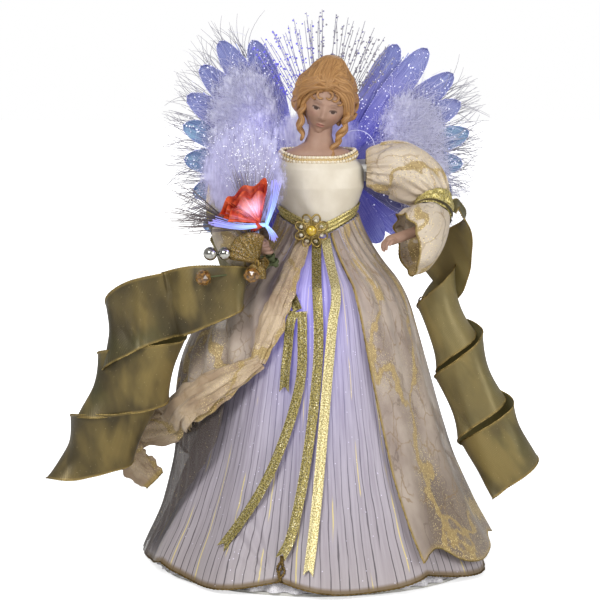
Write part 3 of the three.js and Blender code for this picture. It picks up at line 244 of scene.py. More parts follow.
class Value:
    """A node's output, of which sums and products make more nodes."""

    def __init__(self, look, socket):
        self.look, self.socket = look, socket

    def __add__(self, other):
        return self.look.math("ADD", self, other)

    def __sub__(self, other):
        return self.look.math("SUBTRACT", self, other)

    def __rsub__(self, other):
        return self.look.math("SUBTRACT", other, self)

    def __mul__(self, other):
        return self.look.math("MULTIPLY", self, other)

    def __pow__(self, other):
        return self.look.math("POWER", self, other)

    def __or__(self, other):
        return self.look.math("MAXIMUM", self, other)


class Look:
    """A material with short ways to add nodes to its shader. Its colours are codes on a screen."""

    def __init__(self, name, base, roughness=0.5, metallic=0.0, sheen=0.0, coat=0.0):
        self.material = LOOKS[name] = bpy.data.materials.new(name)
        self.material.use_nodes = True
        self.tree = self.material.node_tree
        self.set(base_color=base, roughness=roughness, metallic=metallic, sheen_weight=sheen,
                 coat_weight=coat)

    def put(self, socket, value):
        if isinstance(value, Value):
            self.tree.links.new(value.socket, socket)
        else:
            socket.default_value = colour(value) if isinstance(value, str) else value

    def set(self, **values):
        for key, value in values.items():
            self.put(self.tree.nodes["Principled BSDF"].inputs[key.replace("_", " ").title()], value)

    def node(self, kind, output, inputs=None, **settings):
        """One of the outputs of a new node."""
        node = self.tree.nodes.new("ShaderNode" + kind)
        for key, value in settings.items():
            setattr(node, key, value)
        for key, value in (inputs or {}).items():
            self.put(node.inputs[key], value)
        return Value(self, node.outputs[output])

    def math(self, operation, a, b=0.0, clamp=False):
        return self.node("Math", 0, {0: a, 1: b}, operation=operation, use_clamp=clamp)

    def mix(self, factor, a, b):
        return self.node("Mix", 2, {0: factor, 6: a, 7: b}, data_type="RGBA")

    def layers(self, base, *covers):
        """A colour with others laid over it, each by its own share."""
        for share, tint in covers:
            base = self.mix(share, base, tint)
        return base

    def value(self, name):
        return self.node("Attribute", "Fac", attribute_name=name)

    def place(self, x=1.0, y=1.0, spin=0.0, kind="UV"):
        """A place in the pattern, scaled and turned."""
        inputs = {"Vector": self.node("TexCoord", kind), "Scale": (x, y, 1), "Rotation": (0, 0, spin)}
        return self.node("Mapping", 0, inputs)

    def noise(self, where, scale, detail=3.0, rough=0.5):
        inputs = {"Vector": where, "Scale": scale, "Detail": detail, "Roughness": rough}
        return self.node("TexNoise", "Fac", inputs)

    def grain(self, scale, detail=3.0):
        """Noise in the piece's own space."""
        return self.noise(self.place(kind="Object"), scale, detail)

    def step(self, value, low, high):
        inputs = {"Value": value, "From Min": low, "From Max": high}
        return self.node("MapRange", 0, inputs, interpolation_type="SMOOTHSTEP")

    def glitter(self, where, scale, share, size):
        """Small round specks in a share of the cells of a pattern."""
        off = self.node("TexVoronoi", "Distance", {"Vector": where, "Scale": scale})
        tint = Value(self, off.socket.node.outputs["Color"])
        chosen = self.math("GREATER_THAN", self.node("SeparateColor", 0, {0: tint}), 1 - share)
        return chosen * self.step(off, size, size * 0.7)

    def crackle(self, where, scale, wander):
        """Distance to wandering lines between the cells of a pattern."""
        warp = self.node("TexNoise", "Color", {"Vector": where, "Scale": scale * 1.6, "Detail": 3.0})
        bent = self.node("Mix", 1, {0: wander / scale, 4: where, 5: warp}, data_type="VECTOR")
        inputs = {"Vector": bent, "Scale": scale}
        return self.node("TexVoronoi", "Distance", inputs, feature="DISTANCE_TO_EDGE")

    def net(self, scale, width):
        """Fine threads between the cells of a pattern."""
        return self.step(self.crackle(self.place(0.1, 0.1), scale, 0.05), width, width * 0.3)

    def stripes(self, across, width):
        """Lines one unit apart, a share of that wide."""
        off = self.math("ABSOLUTE", self.math("FRACT", across) - 0.5)
        return self.step(off, width, width * 0.5)

    def bump(self, height, distance, strength):
        inputs = {"Height": height, "Distance": distance * MM, "Strength": strength}
        self.set(normal=self.node("Bump", 0, inputs))

    def shine(self, tint, strength):
        self.set(emission_color=tint, emission_strength=strength)

    def u(self):
        return self.node("SeparateXYZ", 0, {0: self.place()})


def plastic(name, base, roughness):
    look = Look(name, base, roughness)
    look.set(base_color=look.mix(look.grain(40.0), colour(base, 0.8), base))
    look.bump(look.grain(900.0), 0.1, 0.3)


def metal(name, base, roughness):
    look = Look(name, base, roughness, 1.0)
    worn = look.grain(260.0, 4.0)
    look.set(base_color=look.mix(look.step(worn, 0.35, 0.6), colour(base, 0.55), base))
    look.set(roughness=worn * 0.2 + (roughness - 0.06))


def stone(name, base, deep):
    look = Look(name, base, 0.06, coat=1.0)
    look.set(base_color=look.mix(look.step(look.grain(420.0), 0.35, 0.65), deep, base))


def organza():
    look = Look("organza", "#b8b2be", 0.5, sheen=0.2)
    across = look.u() + look.noise(look.place(0.3, 0.012), 2.0) * 0.7
    gaps = look.noise(look.place(0.9, 0.012), 1.0, 2.0)
    dark = look.stripes(across, 0.085) * look.step(gaps, 0.36, 0.46)
    runs = look.noise(look.place(0.33, 0.02), 1.0, 2.0)
    gold = look.stripes(across * 0.25, 0.024) * look.step(runs, 0.48, 0.55)
    crinkle = look.noise(look.place(1.4, 0.01), 2.0, 4.0, 0.6)
    tone = look.value("tone")
    # The ground is lighter on the crinkles' ridges and darker in their furrows: painted light and shade of
    # the crinkles.
    ground = look.mix(look.step(crinkle, 0.3, 0.68), "#968e9e", "#b2abb9")
    look.set(base_color=look.layers(
        ground, (tone ** 3.0 * 0.75, "#aca19c"), (dark * tone * 0.9, "#3e363a"), (gold, "#dcca84"),
        (look.value("edge"), "#705a34")))
    # Glitter specks in the cloth, which shine as painted glints.
    specks = look.glitter(look.place(0.71, 0.1), 3.0, 0.25, 0.14)
    look.shine(look.mix(specks, "#7870ff", "#ebebff"), look.value("glow") * 0.42 + specks * 0.5)
    look.bump(crinkle, 0.5, 0.3)


def brocade(name, ground, shade, cell, sheer, glint):
    """Thin cloth with crackled gold lines, about a cell's width apart, glitter in patches along them, and
    painted shade where its tone is set.
    """
    look = Look(name, ground, 0.55, sheen=0.25)
    tone, edge = look.value("tone"), look.value("edge")
    where = look.place(1 / cell, 0.62 / cell, 0.6)
    mottle = look.noise(where, 1.3, 4.0)
    patch = look.step(look.noise(where, 0.9), 0.42, 0.6)
    line = look.crackle(where, 1.0, 0.6)
    bold = look.step(line - patch * (0.045 - 0.03 * glint), 0.03, 0.01)
    thin = look.step(look.noise(where, 1.7, 2.0), 0.42, 0.56)
    fine = look.step(look.crackle(where, 2.7, 0.5), 0.034, 0.014) * thin
    dark = look.step(look.crackle(where, 1.6, 0.7), 0.024, 0.01) * (1.0 - patch)
    gold = look.mix(look.noise(where, 46.0), "#70562c", "#ccb06c")
    near = look.step(line, 0.26, 0.02) * (patch + (0.4 + 0.5 * glint))
    flecks = look.math("MULTIPLY", look.glitter(where, 30.0, 0.4, 0.36), near * 0.8, True)
    specks = look.math("MULTIPLY", look.glitter(where, 44.0, 0.5, 0.36), near, True)
    # The tone lays painted shade, a dark brown, where shade falls on a panel.
    look.set(roughness=0.58 - specks * 0.3, base_color=look.layers(
        look.mix(look.step(mottle, 0.3, 0.7), shade, ground), (tone * 0.8, "#645240"),
        (fine * (0.75 - 0.45 * glint), "#947648"), (dark * (0.7 - 0.45 * glint), "#5a422e"),
        (bold * 0.85, gold), (edge, gold), (flecks * 0.7, "#7c5c2c"), (specks, "#f2de9e")))
    look.bump(look.noise(look.place(2.0, 2.0), 1.0, 2.0) + bold * 0.5, 0.4, 0.4)
    if sheer < 1:
        # Where the tone lays painted shade, the cloth is opaque too.
        look.set(alpha=bold | dark | edge | specks | tone | (mottle * 0.2 + sheer))


def glitter_cloth(name, dark, light, metallic=0.55):
    look = Look(name, light, 0.4, metallic)
    where = look.place(0.1, 0.1)
    fine = look.noise(where, 10.0, 2.0)
    specks = look.glitter(where, 12.5, 0.4, 0.42)
    base = look.mix(look.step(fine, 0.4, 0.6), dark, light)
    look.set(base_color=look.mix(specks * 0.7, base, "#faf0cd"), roughness=0.48 - specks * 0.25)
    look.bump(fine + specks, 0.25, 0.5)


def tulle():
    look = Look("tulle", "#544848", 0.6, sheen=0.2)
    specks = look.glitter(look.place(0.1, 0.1), 6.0, 0.16, 0.25)
    look.set(base_color=look.mix(specks, "#4a403c", "#beaa86"))
    look.set(alpha=specks | (look.net(11.0, 0.16) * 0.3 + 0.62))


def satin():
    look = Look("satin", "#dcd2be", 0.32, sheen=0.2)
    soft = look.noise(look.place(0.1, 0.1), 0.6)
    weave = look.noise(look.place(4.0, 1.2), 1.2, 2.0)
    look.set(base_color=look.mix(soft, "#cabea8", "#e6decc"), roughness=weave * 0.16 + 0.28)
    look.bump(soft + weave * 0.05, 1.5, 0.4)


def ribbon_cloth(name, shade, light, glow=0.0):
    """Olive ribbon with painted sheen and painted shade in streaks, and a greenish cast; a backing glows a
    little.
    """
    look = Look(name, light, 0.4, 0.3, sheen=0.1)
    lines = look.stripes(look.u() * 1.1, 0.3)
    broad = look.noise(look.place(0.03, 0.02), 1.0)
    # Streaks across the ribbon's width: their pale parts are painted sheen and their dark parts painted shade
    # of soft folds.
    streaks = look.noise(look.place(0.036, 0.014, 0.5), 1.0)
    green = look.step(look.noise(look.place(0.016, 0.016), 1.0, 2.0), 0.52, 0.64)
    specks = look.glitter(look.place(0.1, 0.1), 9.0, 0.08, 0.18)
    look.set(base_color=look.layers(
        look.mix(look.step(broad, 0.36, 0.64), shade, light), (green * 0.45, "#464824"),
        # Painted sheen, then painted shade, from the streaks.
        (look.step(streaks, 0.5, 0.66) * 0.7, colour(light, 1.8)),
        (look.step(streaks, 0.46, 0.32) * 0.6, shade),
        # The tone lays painted light, a paler olive, on the figure's left stole.
        (lines * 0.2, "#3c351c"), (look.value("tone"), "#ac9c64"), (specks, "#cebc88"),
        (look.value("edge"), "#968048")))
    look.bump(lines * 0.2 + streaks * 4.0, 0.8, 0.6)
    if glow:
        look.shine(light, glow)


def netting():
    look = Look("netting", "#ece9ec", 0.75)
    net = look.net(8.0, 0.2)
    look.set(base_color=look.mix(net, "#d8d3da", "#f4f2f4"))
    look.bump(net, 0.3, 0.5)


def skin():
    look = Look("skin", "#a4816e", 0.55)
    mottle = look.grain(240.0)
    look.set(base_color=look.layers(
        look.mix(mottle, "#997764", "#ad8b76"), (look.value("glow"), "#a05b52"),
        (look.value("edge"), "#412b21"), (look.value("tone"), "#c0b8b1")))
    look.bump(mottle, 0.1, 0.3)


def hair():
    look = Look("hair", "#a97d4d", 0.5)
    strands = look.noise(look.place(14.0, 2.0), 1.0)
    base = look.mix(look.step(strands, 0.3, 0.68), "#8c6236", "#bc8e58")
    # The tone darkens some locks at random, and lays painted shade in the dome's grooves.
    look.set(base_color=look.mix(look.value("tone"), base, "#6c4726"))
    look.bump(strands, 0.3, 0.4)


def wing_film():
    look = Look("wing_film", "#9695c8", 0.4, sheen=0.1)
    glow = look.value("glow")
    barbs = look.noise(look.place(0.03, 1.1), 1.4, 3.0, 0.6)
    deep = look.mix(glow, "#504f90", "#4846b2")
    pale = look.mix(look.value("tone"), "#9495cb", "#94c0d4")
    # Glitter specks, brightest along the lobes' edges, shine as painted glints.
    specks = look.glitter(look.place(0.1, 0.1), 8.0, 0.2, 0.3)
    bright = look.math("MULTIPLY", specks, look.value("edge") + 0.2, True)
    look.set(base_color=look.layers(
        look.mix(look.step(barbs, 0.36, 0.64), deep, pale),
        (look.step(look.grain(60.0), 0.5, 0.75) * 0.25, "#c4c3e4"), (bright, "#f6f6ff")))
    look.shine(look.mix(bright, "#5c5afa", "#ebebff"), glow * 0.22 + bright * 0.4)
    look.bump(barbs, 0.6, 0.6)


def fluff(name, low, high):
    """Soft down whose alpha thins out towards the rim of its patch."""
    look = Look(name, high, 0.9)
    glow = look.value("glow")
    cloud = look.noise(look.place(0.1, 0.1), 1.1, 6.0, 0.62)
    both = (cloud + look.noise(look.place(0.5, 0.12), 1.0, 5.0, 0.6)) * 0.5
    base = look.mix(look.step(both, 0.36, 0.64), low, high)
    solid = look.value("tone") + (both * 1.4 - 0.7)
    look.set(base_color=look.mix(glow * 0.8, base, "#7070ec"), alpha=look.step(solid, 0.06, 0.55) * 0.94)
    look.shine("#686cff", glow * 0.35)
    look.bump(both, 2.0, 0.5)


def strand(name, root, tip, strength, light):
    """Strands whose colour runs from root to tip, and whose light comes from their own values."""
    look = Look(name, root, 0.4)
    look.set(base_color=look.mix(look.value("along"), root, tip))
    look.shine(light, look.value("glow") * strength)


def bead(name, cool, warm, strength):
    look = Look(name, cool, 0.2)
    tint = look.mix(look.value("tone"), cool, warm)
    look.set(base_color=tint)
    look.shine(tint, look.value("glow") * strength)


def film_flower():
    look = Look("film_flower", "#ce4228", 0.16, coat=0.6)
    glow = look.value("glow")
    crease = look.noise(look.place(0.1, 0.1), 1.4, 4.0)
    # The film is dark red low in its crumples and orange on their ridges: painted shade and light of the
    # crumples; the glow is a painted highlight.
    base = look.mix(look.step(crease, 0.32, 0.66), "#aa1e16", "#ee6c3a")
    look.set(base_color=look.mix(glow, base, "#ffe2e8"))
    look.shine("#ff786e", glow * 0.35)
    look.bump(crease, 1.5, 0.7)


LOOK_TABLE = {
    brocade: [
        ("overskirt_brocade", "#ccbbaa", "#a49182", 29.0, 0.66, 0.3),
        ("swag_brocade", "#ccb698", "#9e8468", 22.0, 0.85, 0.9),
        ("sleeve_brocade", "#d4c6b2", "#baa994", 36.0, 1, 0.6)],
    glitter_cloth: [
        ("band_lame", "#928240", "#e2d38a"),
        ("olive_lame", "#524822", "#9e9052"),
        ("pale_lame", "#968650", "#e6daa4"),
        ("gold_mesh", "#463414", "#967a36", 0.5)],
    ribbon_cloth: [
        ("wired_ribbon", "#42381e", "#706034"),
        ("wired_ribbon_back", "#504b2c", "#70663e", 0.12)],
    metal: [
        ("gold_cord", "#ac965e", 0.4),
        ("dark_cord", "#806a40", 0.45),
        ("antique_gold", "#b0985c", 0.3),
        ("silver_finish", "#d6d4cc", 0.05),
        ("steel", "#aaacb0", 0.35)],
    fluff: [
        ("wing_fluff", "#aaa9cc", "#dedeee"),
        ("fibre_puff", "#9895be", "#c0bee2")],
    strand: [
        ("wing_down", "#c4c3e0", "#e6e6f4", 0.1, "#bebcff"),
        ("wing_barb", "#9694a0", "#b0aeb8", 0.0, "#a0a0dc"),
        ("light_fibre", "#8c8dbe", "#b4beec", 0.5, "#8c92ff"),
        ("fibre_bundle", "#aae4fa", "#b0a8e8", 0.4, "#9696ff"),
        ("fibre_haze", "#bebcd6", "#e2e1f0", 0.1, "#bebcff"),
        ("halo_fibre", "#807c82", "#a09eac", 0.8, "#7878fa"),
        ("needles", "#544a4e", "#867c7c", 0.0, "#000000")],
    bead: [
        ("spark", "#e2e4ff", "#ffffff", 0.7),
        ("wing_dot", "#a0a0ec", "#e2e2ff", 0.35),
        ("halo_bead", "#6864d6", "#96929c", 0.35),
        ("pearl", "#ceb27a", "#e8dec8", 0.0)],
    stone: [
        ("crystal", "#e2dcc4", "#8e7e58"),
        ("yellow_stone", "#e2c43e", "#b08a1a"),
        ("amber", "#966c30", "#4a3012")],
    plastic: [
        ("white_plastic", "#e4e2da", 0.5),
        ("black_plastic", "#262628", 0.5),
        ("board_green", "#265c3a", 0.45),
        ("lens_plastic", "#e2e6f0", 0.12),
        ("stem_wrap", "#545c38", 0.7)],
}
KEPT_NODES = {
    "white_plastic": ["tree_cone", "lamp_housing", "housing_lid", "back_bracket", "wing_root_left",
                      "wing_root_right", "halo_holder", "torso_core"],
    "black_plastic": ["dc_inlet"],
    "board_green": ["led_board"],
    "lens_plastic": ["led_lens"],
    "steel": ["fibre_ferrule", "deck_screw_left", "deck_screw_right", "lid_screw_front", "lid_screw_back"],
    "light_fibre": ["fibre_trunk"],
    "stem_wrap": ["bouquet_stem"],
}


def make_looks():
    for look in (organza, tulle, satin, netting, skin, hair, wing_film, film_flower):
        look()
    for look, kinds in LOOK_TABLE.items():
        for kind in kinds:
            look(*kind)


def dress_kept_nodes():
    for look, names in KEPT_NODES.items():
        for name in names:
            materials = frame["nodes"][name].data.materials
            materials.clear()
            materials.append(LOOKS[look])


# Skirts

CONE_H = 222.0
SKIRT_SHOULDER = 210.0
SKIRT_FORM = array([(0, 127), (14, 122), (40, 108), (80, 92), (115, 82), (150, 73), (190, 63), (208, 55),
                    (222, 46)], float)
TORSO_FORM = array([(0, 20, 18), (20, 19.5, 15.5), (38, 26, 18.5), (54, 31, 20), (68, 31, 17), (76, 24, 13)])
FOLDS = 11
PLEATS = 46
SCALLOPS = 7
SCALLOP_AT = radians(-13)
PICKED_AT = radians(-14)
SMOOTHING = 17
WAIST_FOLDS = 37
SASH_HALF = 4.6
RIGHT_FRONT, BACK = radians(-31), radians(177)
SWAG_HEM = ([-177, -150, -120, -95, -75, -60, -45, -31], [26, 40, 66, 92, 108, 126, 145, 158])
LEFT_FRONT = ([0, 0.2, 0.4, 0.6, 0.8, 1], [35, 32.5, 30.5, 28, 25.5, 25])


def smoothed_skirt():
    heights = np.arange(0.0, CONE_H + 1)
    radii = np.pad(interp(heights, *SKIRT_FORM.T), SMOOTHING // 2, "reflect", reflect_type="odd")
    return heights, np.convolve(radii, np.full(SMOOTHING, 1 / SMOOTHING), "valid")


SKIRT_LINE = smoothed_skirt()


def torso_radius(angle, z, out):
    half_x, half_y = (interp(z - CONE_H, TORSO_FORM[:, 0], half) + out for half in TORSO_FORM.T[1:])
    return 1 / np.sqrt((sin(angle) / half_x) ** 2 + (cos(angle) / half_y) ** 2)


def sash_z(angle):
    return 262 - 15 * ((1 + cos(angle)) / 2) ** 3


def skirt_top(angle):
    return sash_z(angle) - SASH_HALF


def skirt_at(angle, z):
    """Radius of the plain skirt, which runs in to the waist above its shoulder."""
    top = skirt_top(angle)
    share = np.clip((z - SKIRT_SHOULDER) / (top - SKIRT_SHOULDER), 0, 1)
    waist, shoulder = torso_radius(angle, top, 3.7), interp(SKIRT_SHOULDER, *SKIRT_LINE)
    return np.where(z < SKIRT_SHOULDER, interp(z, *SKIRT_LINE),
                    waist + (shoulder - waist) * (1 - share) ** 1.3)


def low_share(z):
    return np.clip(1 - z / CONE_H, 0, 1)


def fold_depth(z):
    return 3 * low_share(z)


def hem_line(angle):
    return 3 + 8 * (1 - abs(sin(SCALLOPS * (angle - SCALLOP_AT) / 2)))


def waist_gather(angle, z, count):
    """Small folds that run down from the waist and die out."""
    return cos(count * angle + 1.7 * sin(3 * angle)) * smooth(z, 120, 238)


def hem_gather(angle, z):
    """Pleats that fan upwards and to the right side from the place where the hem is picked up."""
    x, y = (angle - PICKED_AT) * 115, z - 4
    fan, far = np.arctan2(y, -x), np.hypot(x, y)
    return cos(24 * fan + 0.06 * far) * bell(fan, 0.95, 0.36) * smooth(far, 5, 22) * smooth(far, 92, 45)


def outer_skirt(angle, z):
    """Radius round the folds, with the right side puffed out."""
    height = np.clip(z / SKIRT_SHOULDER, 0, 1)
    puff = 20 * smooth(-sin(angle), 0.5, 1) * sin(PI * height ** 2)
    return skirt_at(angle, z) + fold_depth(z) + puff


def over_radius(angle, z):
    fold = 4 * low_share(z) * (1 + cos(FOLDS * angle)) / 2
    return outer_skirt(angle, z) + lerp(0.9, 3.4, smooth(CONE_H + 12 - z, 0, 40)) + fold


def under_radius(angle, z):
    crinkle = 0.16 * cos(52 * angle + 2 * sin(5 * angle + z / 30)) + 0.12 * cos(83 * angle - z / 17)
    folds = fold_depth(z) * cos(FOLDS * angle) + hem_gather(angle, z)
    return skirt_at(angle, z) + folds + crinkle + 0.5 * waist_gather(angle, z, 58) - 0.4


def wrap(name, look, slot, node, angle, radius, z, around, flat, on, held="gathered", **values):
    """A sheet of cloth round the figure, whose pattern is laid out on the radius around; gives its points."""
    points = polar(angle, radius, z)
    shape = Shape().grid(points, (angle * around, z), **values)
    shape.make(name, "base", look, slot, node, flat=flat, held=held, on=on)
    return points


def edge_band(path, radius, name, body="base"):
    """A gold corded edge along a path."""
    Shape().twine(path, radius, 0.25 * radius, 1.9).make(name, body, "gold_cord", "brocade")


def build_petticoat():
    share, angle = rows(24), columns(PLEATS * 8 + 1, -PI, PI)
    z, depth = lerp(2.5, 205.0, share), lerp(2.6, 0.8, share)
    radius = interp(z, *SKIRT_LINE) - fold_depth(z) - 3.2 - depth + depth * cos(PLEATS * angle)
    wrap("petticoat_cloth", "netting", "netting", "petticoat", angle, radius, z, 120, (0.9, 0.26),
         "tree_cone")


def build_underskirt():
    share, angle = rows(110), columns(561, -PI, PI)
    hem = hem_line(angle)
    z = lerp(hem, skirt_top(angle), share)
    glow = bell(z, 200, 44) * bell(angle, -0.08, 0.4) + 0.3 * bell(z, 150, 70) * bell(angle, -0.05, 0.5)
    wrap("underskirt_cloth", "organza", "organza", "underskirt", angle, under_radius(angle, z), z, 112 / TAU,
         (0.84, 0.28), "petticoat_cloth", glow=glow, edge=smooth(hem + 2.4 - z, -0.6, 0.4),
         tone=lerp(1.0, 0.35, share ** 0.7))
    ring, rise = steps(900, -PI, PI), steps(40)
    hem = hem_line(ring)
    cord = Shape().twine(polar(ring, under_radius(ring, hem) + 0.2, hem), 0.6, 0.16, 1.6, 6)
    for i in range(3):
        side = SCALLOP_AT + 0.012 * (i - 1) + 0.014 * sin(9 * rise + 2 * i) * (1 - 0.4 * rise)
        z = 11 + 17 * rise
        cord.twine(polar(side, under_radius(side, z) + 1.2, z), 0.9, 0.3, 1.7, 6, i)
    cord.make("underskirt_hem_cord", "base", "dark_cord", "organza")


def overskirt(side, angle, front, z, hem, ripple, front_band, hem_band, tone):
    """A panel of the overskirt with gold along its front and its hem, and painted shade by its tone; gives
    its points.
    """
    radius = over_radius(angle, z) + ripple + waist_gather(angle, z, WAIST_FOLDS)
    edge = np.maximum(smooth(abs(angle - front) * radius, *front_band), smooth(z - hem, *hem_band))
    return wrap(f"overskirt_{side}_cloth", "overskirt_brocade", "brocade", "overskirt_" + side, angle, radius,
                z, 100, (0.36, 0.28), "underskirt_cloth", edge=edge, tone=tone)


def build_overskirt_left():
    share, column = rows(110), columns(300)
    front = radians(interp(share, *LEFT_FRONT))
    angle = lerp(front, BACK, column)
    hem = 11 + hem_line(angle) + 9 * bell(angle, radians(45), 0.12)
    z = lerp(hem, skirt_top(angle), share)
    ripple = 0.9 * cos(17 * angle + z / 21 + 2 * sin(z / 37)) * smooth(z, 230, 120)
    # Painted shade on the lower part of the panel, from the figure's left side round to the back.
    tone = smooth(z, 130, 30) * smooth(angle, 0.58, 0.85)
    points = overskirt("left", angle, front, z, hem, ripple, (2.0, 1.2), (2.4, 1.6), tone)
    edge_band(np.vstack([points[::-1, 0], points[0, 1:]]), 0.45, "overskirt_left_edge")


def swag_hem(angle):
    """Height of the drawn-up hem of the right overskirt."""
    return interp(np.degrees(angle), *SWAG_HEM)


def build_overskirt_right():
    share, column = rows(110), columns(300)
    angle = lerp(-BACK, RIGHT_FRONT, column) + 0 * share
    hem = swag_hem(angle)
    z = lerp(hem, skirt_top(angle), share)
    ripple = 1.5 * cos(30 * angle + z / 9) * smooth(z, 236, 190) * smooth(column, 0, 0.25)
    # Painted shade, lighter than on the left panel, on the lower part of this one from the figure's right
    # side round to the back.
    tone = 0.55 * smooth(-angle, 0.95, 1.35) * smooth(z, 215, 180)
    points = overskirt("right", angle, RIGHT_FRONT, z, hem, ripple, (3.2, 2.2), (3.4, 2.4), tone)
    edge_band(np.vstack([points[0], points[1:, -1]]), 0.7, "overskirt_right_edge")


def gathered_tube(path, out, wide, deep, folds, seed):
    """A crushed tube of cloth along a path, wide along its lie and deep away from it, with folds along it."""
    along = unit(np.gradient(path, axis=0))
    across = unit(np.cross(out, along))
    out = np.cross(along, across)
    turn, share = columns(97, 0, TAU), rows(len(path))
    crush = 1 + 0.15 * cos(folds * turn + seed + 5 * share) + 0.11 * cos((folds + 4) * turn - 9 * share)
    crush = crush + 0.07 * cos(3 * turn + 31 * share + seed) + 0.05 * cos(17 * turn + 14 * share)
    crush = crush + 0.05 * cos(2 * turn - 53 * share)
    x = (wide[:, None] * cos(turn) * crush)[..., None] * across[:, None]
    y = (deep[:, None] * sin(turn) * crush)[..., None] * out[:, None]
    return path[:, None] + x + y, (turn * wide.mean(), lengths(path)[:, None])


def build_swag_roll():
    """The right overskirt's hem, rolled and gathered, with a turned-down end beyond the skirt's side."""
    angle = radians([-31, -40, -52, -64, -76])
    z = swag_hem(angle) + 1
    route = [*polar(angle, over_radius(angle, z) + 3.0, z), (-112, -18, 104), (-126, -14, 100),
             (-139, -12, 97)]
    path = spline(route, 150)
    share = steps(len(path))
    wide = interp(share, [0, 0.1, 0.3, 0.55, 0.75, 0.93, 1], [4, 7, 11.5, 13, 12.5, 11, 7])
    deep = interp(share, [0, 0.1, 0.3, 0.75, 0.93, 1], [2.4, 3.4, 4.8, 5.4, 4.6, 2.0])
    out = unit(lerp(unit(path * [1, 1, 0]), array([0, -1.0, 0]), smooth(share, 0.45, 0.75)[:, None]))
    shape = Shape().grid(*gathered_tube(path, out, wide, deep, 7, 0.4))
    drop = spline([(-131, -15, 107), (-140, -16, 92), (-132, -17, 76), (-119, -17, 63)], 60)
    share = steps(len(drop))
    wide = interp(share, [0, 0.2, 0.5, 0.8, 1], [3, 8, 10.5, 10, 8])
    deep = interp(share, [0, 0.3, 1], [2.0, 4.0, 3.0])
    flap, uv = gathered_tube(drop, np.tile([-0.2, -0.98, 0.0], (len(drop), 1)), wide, deep, 5, 1.1)
    shape.grid(flap, uv, edge=smooth(share[:, None], 0.92, 0.96))
    shape.make("overskirt_right_roll", "base", "swag_brocade", "brocade", flat=(0.08, 0.25),
               on="overskirt_right_cloth")
    edge_band(flap[-1], 0.5, "overskirt_right_roll_edge")


def build_front_gather():
    """The right overskirt's front edge, drawn up in a crushed strip from the sash to the rolled hem."""
    angle = radians([-20, -25, -24, -27, -31, -33])
    z = array([240, 226, 208, 190, 172, 158.0])
    path = spline(polar(angle, over_radius(angle, z) + 2.0, z), 90)
    share = steps(len(path))
    wide = interp(share, [0, 0.25, 0.5, 0.75, 1], [3.5, 6.5, 8.0, 8.5, 5.5])
    deep = interp(share, [0, 0.5, 1], [1.4, 2.2, 2.6])
    shape = Shape().grid(*gathered_tube(path, unit(path * [1, 1, 0]), wide, deep, 6, 2.1))
    shape.make("overskirt_right_gather", "base", "swag_brocade", "brocade", flat=(0.05, 0.1),
               on="overskirt_right_cloth")


def build_tulle():
    z = rows(70, 10.0, 178.0)
    front = radians(lerp(-77, -48, smooth(z, 5, 115)))
    angle = lerp(radians(-118), front, columns(120))
    under = smooth(z, 85, 115)
    ruffle = lerp(0.7, 0.3, under) * cos(60 * angle + z / 9)
    radius = outer_skirt(angle, z) + lerp(1.7, 0.9, under) + ruffle
    wrap("tulle_cloth", "tulle", "tulle", "tulle_panel", angle, radius, z, 110, (0.16, 0.2),
         "underskirt_cloth")


# Bodice, sash, brooch and tails

BROOCH = array([-5.0, -28.0, 247.0])
STONES = 8
BEAD_ROWS = ((66, 1.5, 0.9, 1.3, 1), (78, 0.0, 2.3, 1.0, 0), (66, -1.5, 2.5, 1.2, 1), (90, -3.0, 2.2, 0.8, 0))
TAIL_TOP = 233.8
TAIL_W = 7.0
TAILS = {
    "sash_loop": [(-22, -7), (-27, 12), (-19, 28), (-13.4, 39.6)],
    "sash_tail_short": [(-15.8, 40.2), (-17.5, 54), (-18, 96)],
    "sash_tail_long": [(-10.6, 40.2), (-9.5, 56), (-10, 92), (-22, 156), (-36, 204)],
    "sash_tail_middle": [(-3, -7), (0, 52), (-2, 100), (-9, 184), (-13, 207)],
    "sash_tail_bright": [(13, -7), (12, 29), (8, 52), (2.6, 114), (-3.5, 217)],
}


def neck_top(angle):
    """Height of the bodice's upper edge, lowest in front."""
    return 296.6 + 4.6 * smooth(1 - cos(angle), 0.25, 1.1)


def build_bodice():
    angle = columns(241, -PI, PI)
    z = lerp(236.0, neck_top(angle), rows(60))
    radius = torso_radius(angle, z, 1.9) + 0.35 * cos(9 * angle + z / 5) * bell(z, 258, 12)
    wrap("bodice_cloth", "satin", "satin", "bodice", angle, radius, z, 30, (0.2, 0.08), "torso_core",
         "stretched")


def build_neckline():
    shape = Shape()
    for count, rise, out, radius, tone in BEAD_ROWS:
        angle = np.linspace(-PI, PI, count, endpoint=False) + rise
        centres = polar(angle, torso_radius(angle, 296.0, out), neck_top(angle) + rise)
        shape.beads(centres, radius, 2, tone=tone * (0.6 + 0.4 * (np.arange(count) % 2)))
    shape.make("neckline_beads", "base", "pearl", "pearl_braid", "neckline_trim")


def build_sash():
    share, angle = rows(17, -1, 1), columns(241, -PI, PI)
    z = sash_z(angle) + SASH_HALF * share
    radius = torso_radius(angle, z, 2.8) + 0.35 * cos(share * 9) + 0.4 * bell(share, 0, 0.8)
    wrap("sash_cloth", "band_lame", "gold_lame", "sash", angle, radius, z, 28, (0.16, 0.012), "bodice_cloth",
         "stretched")


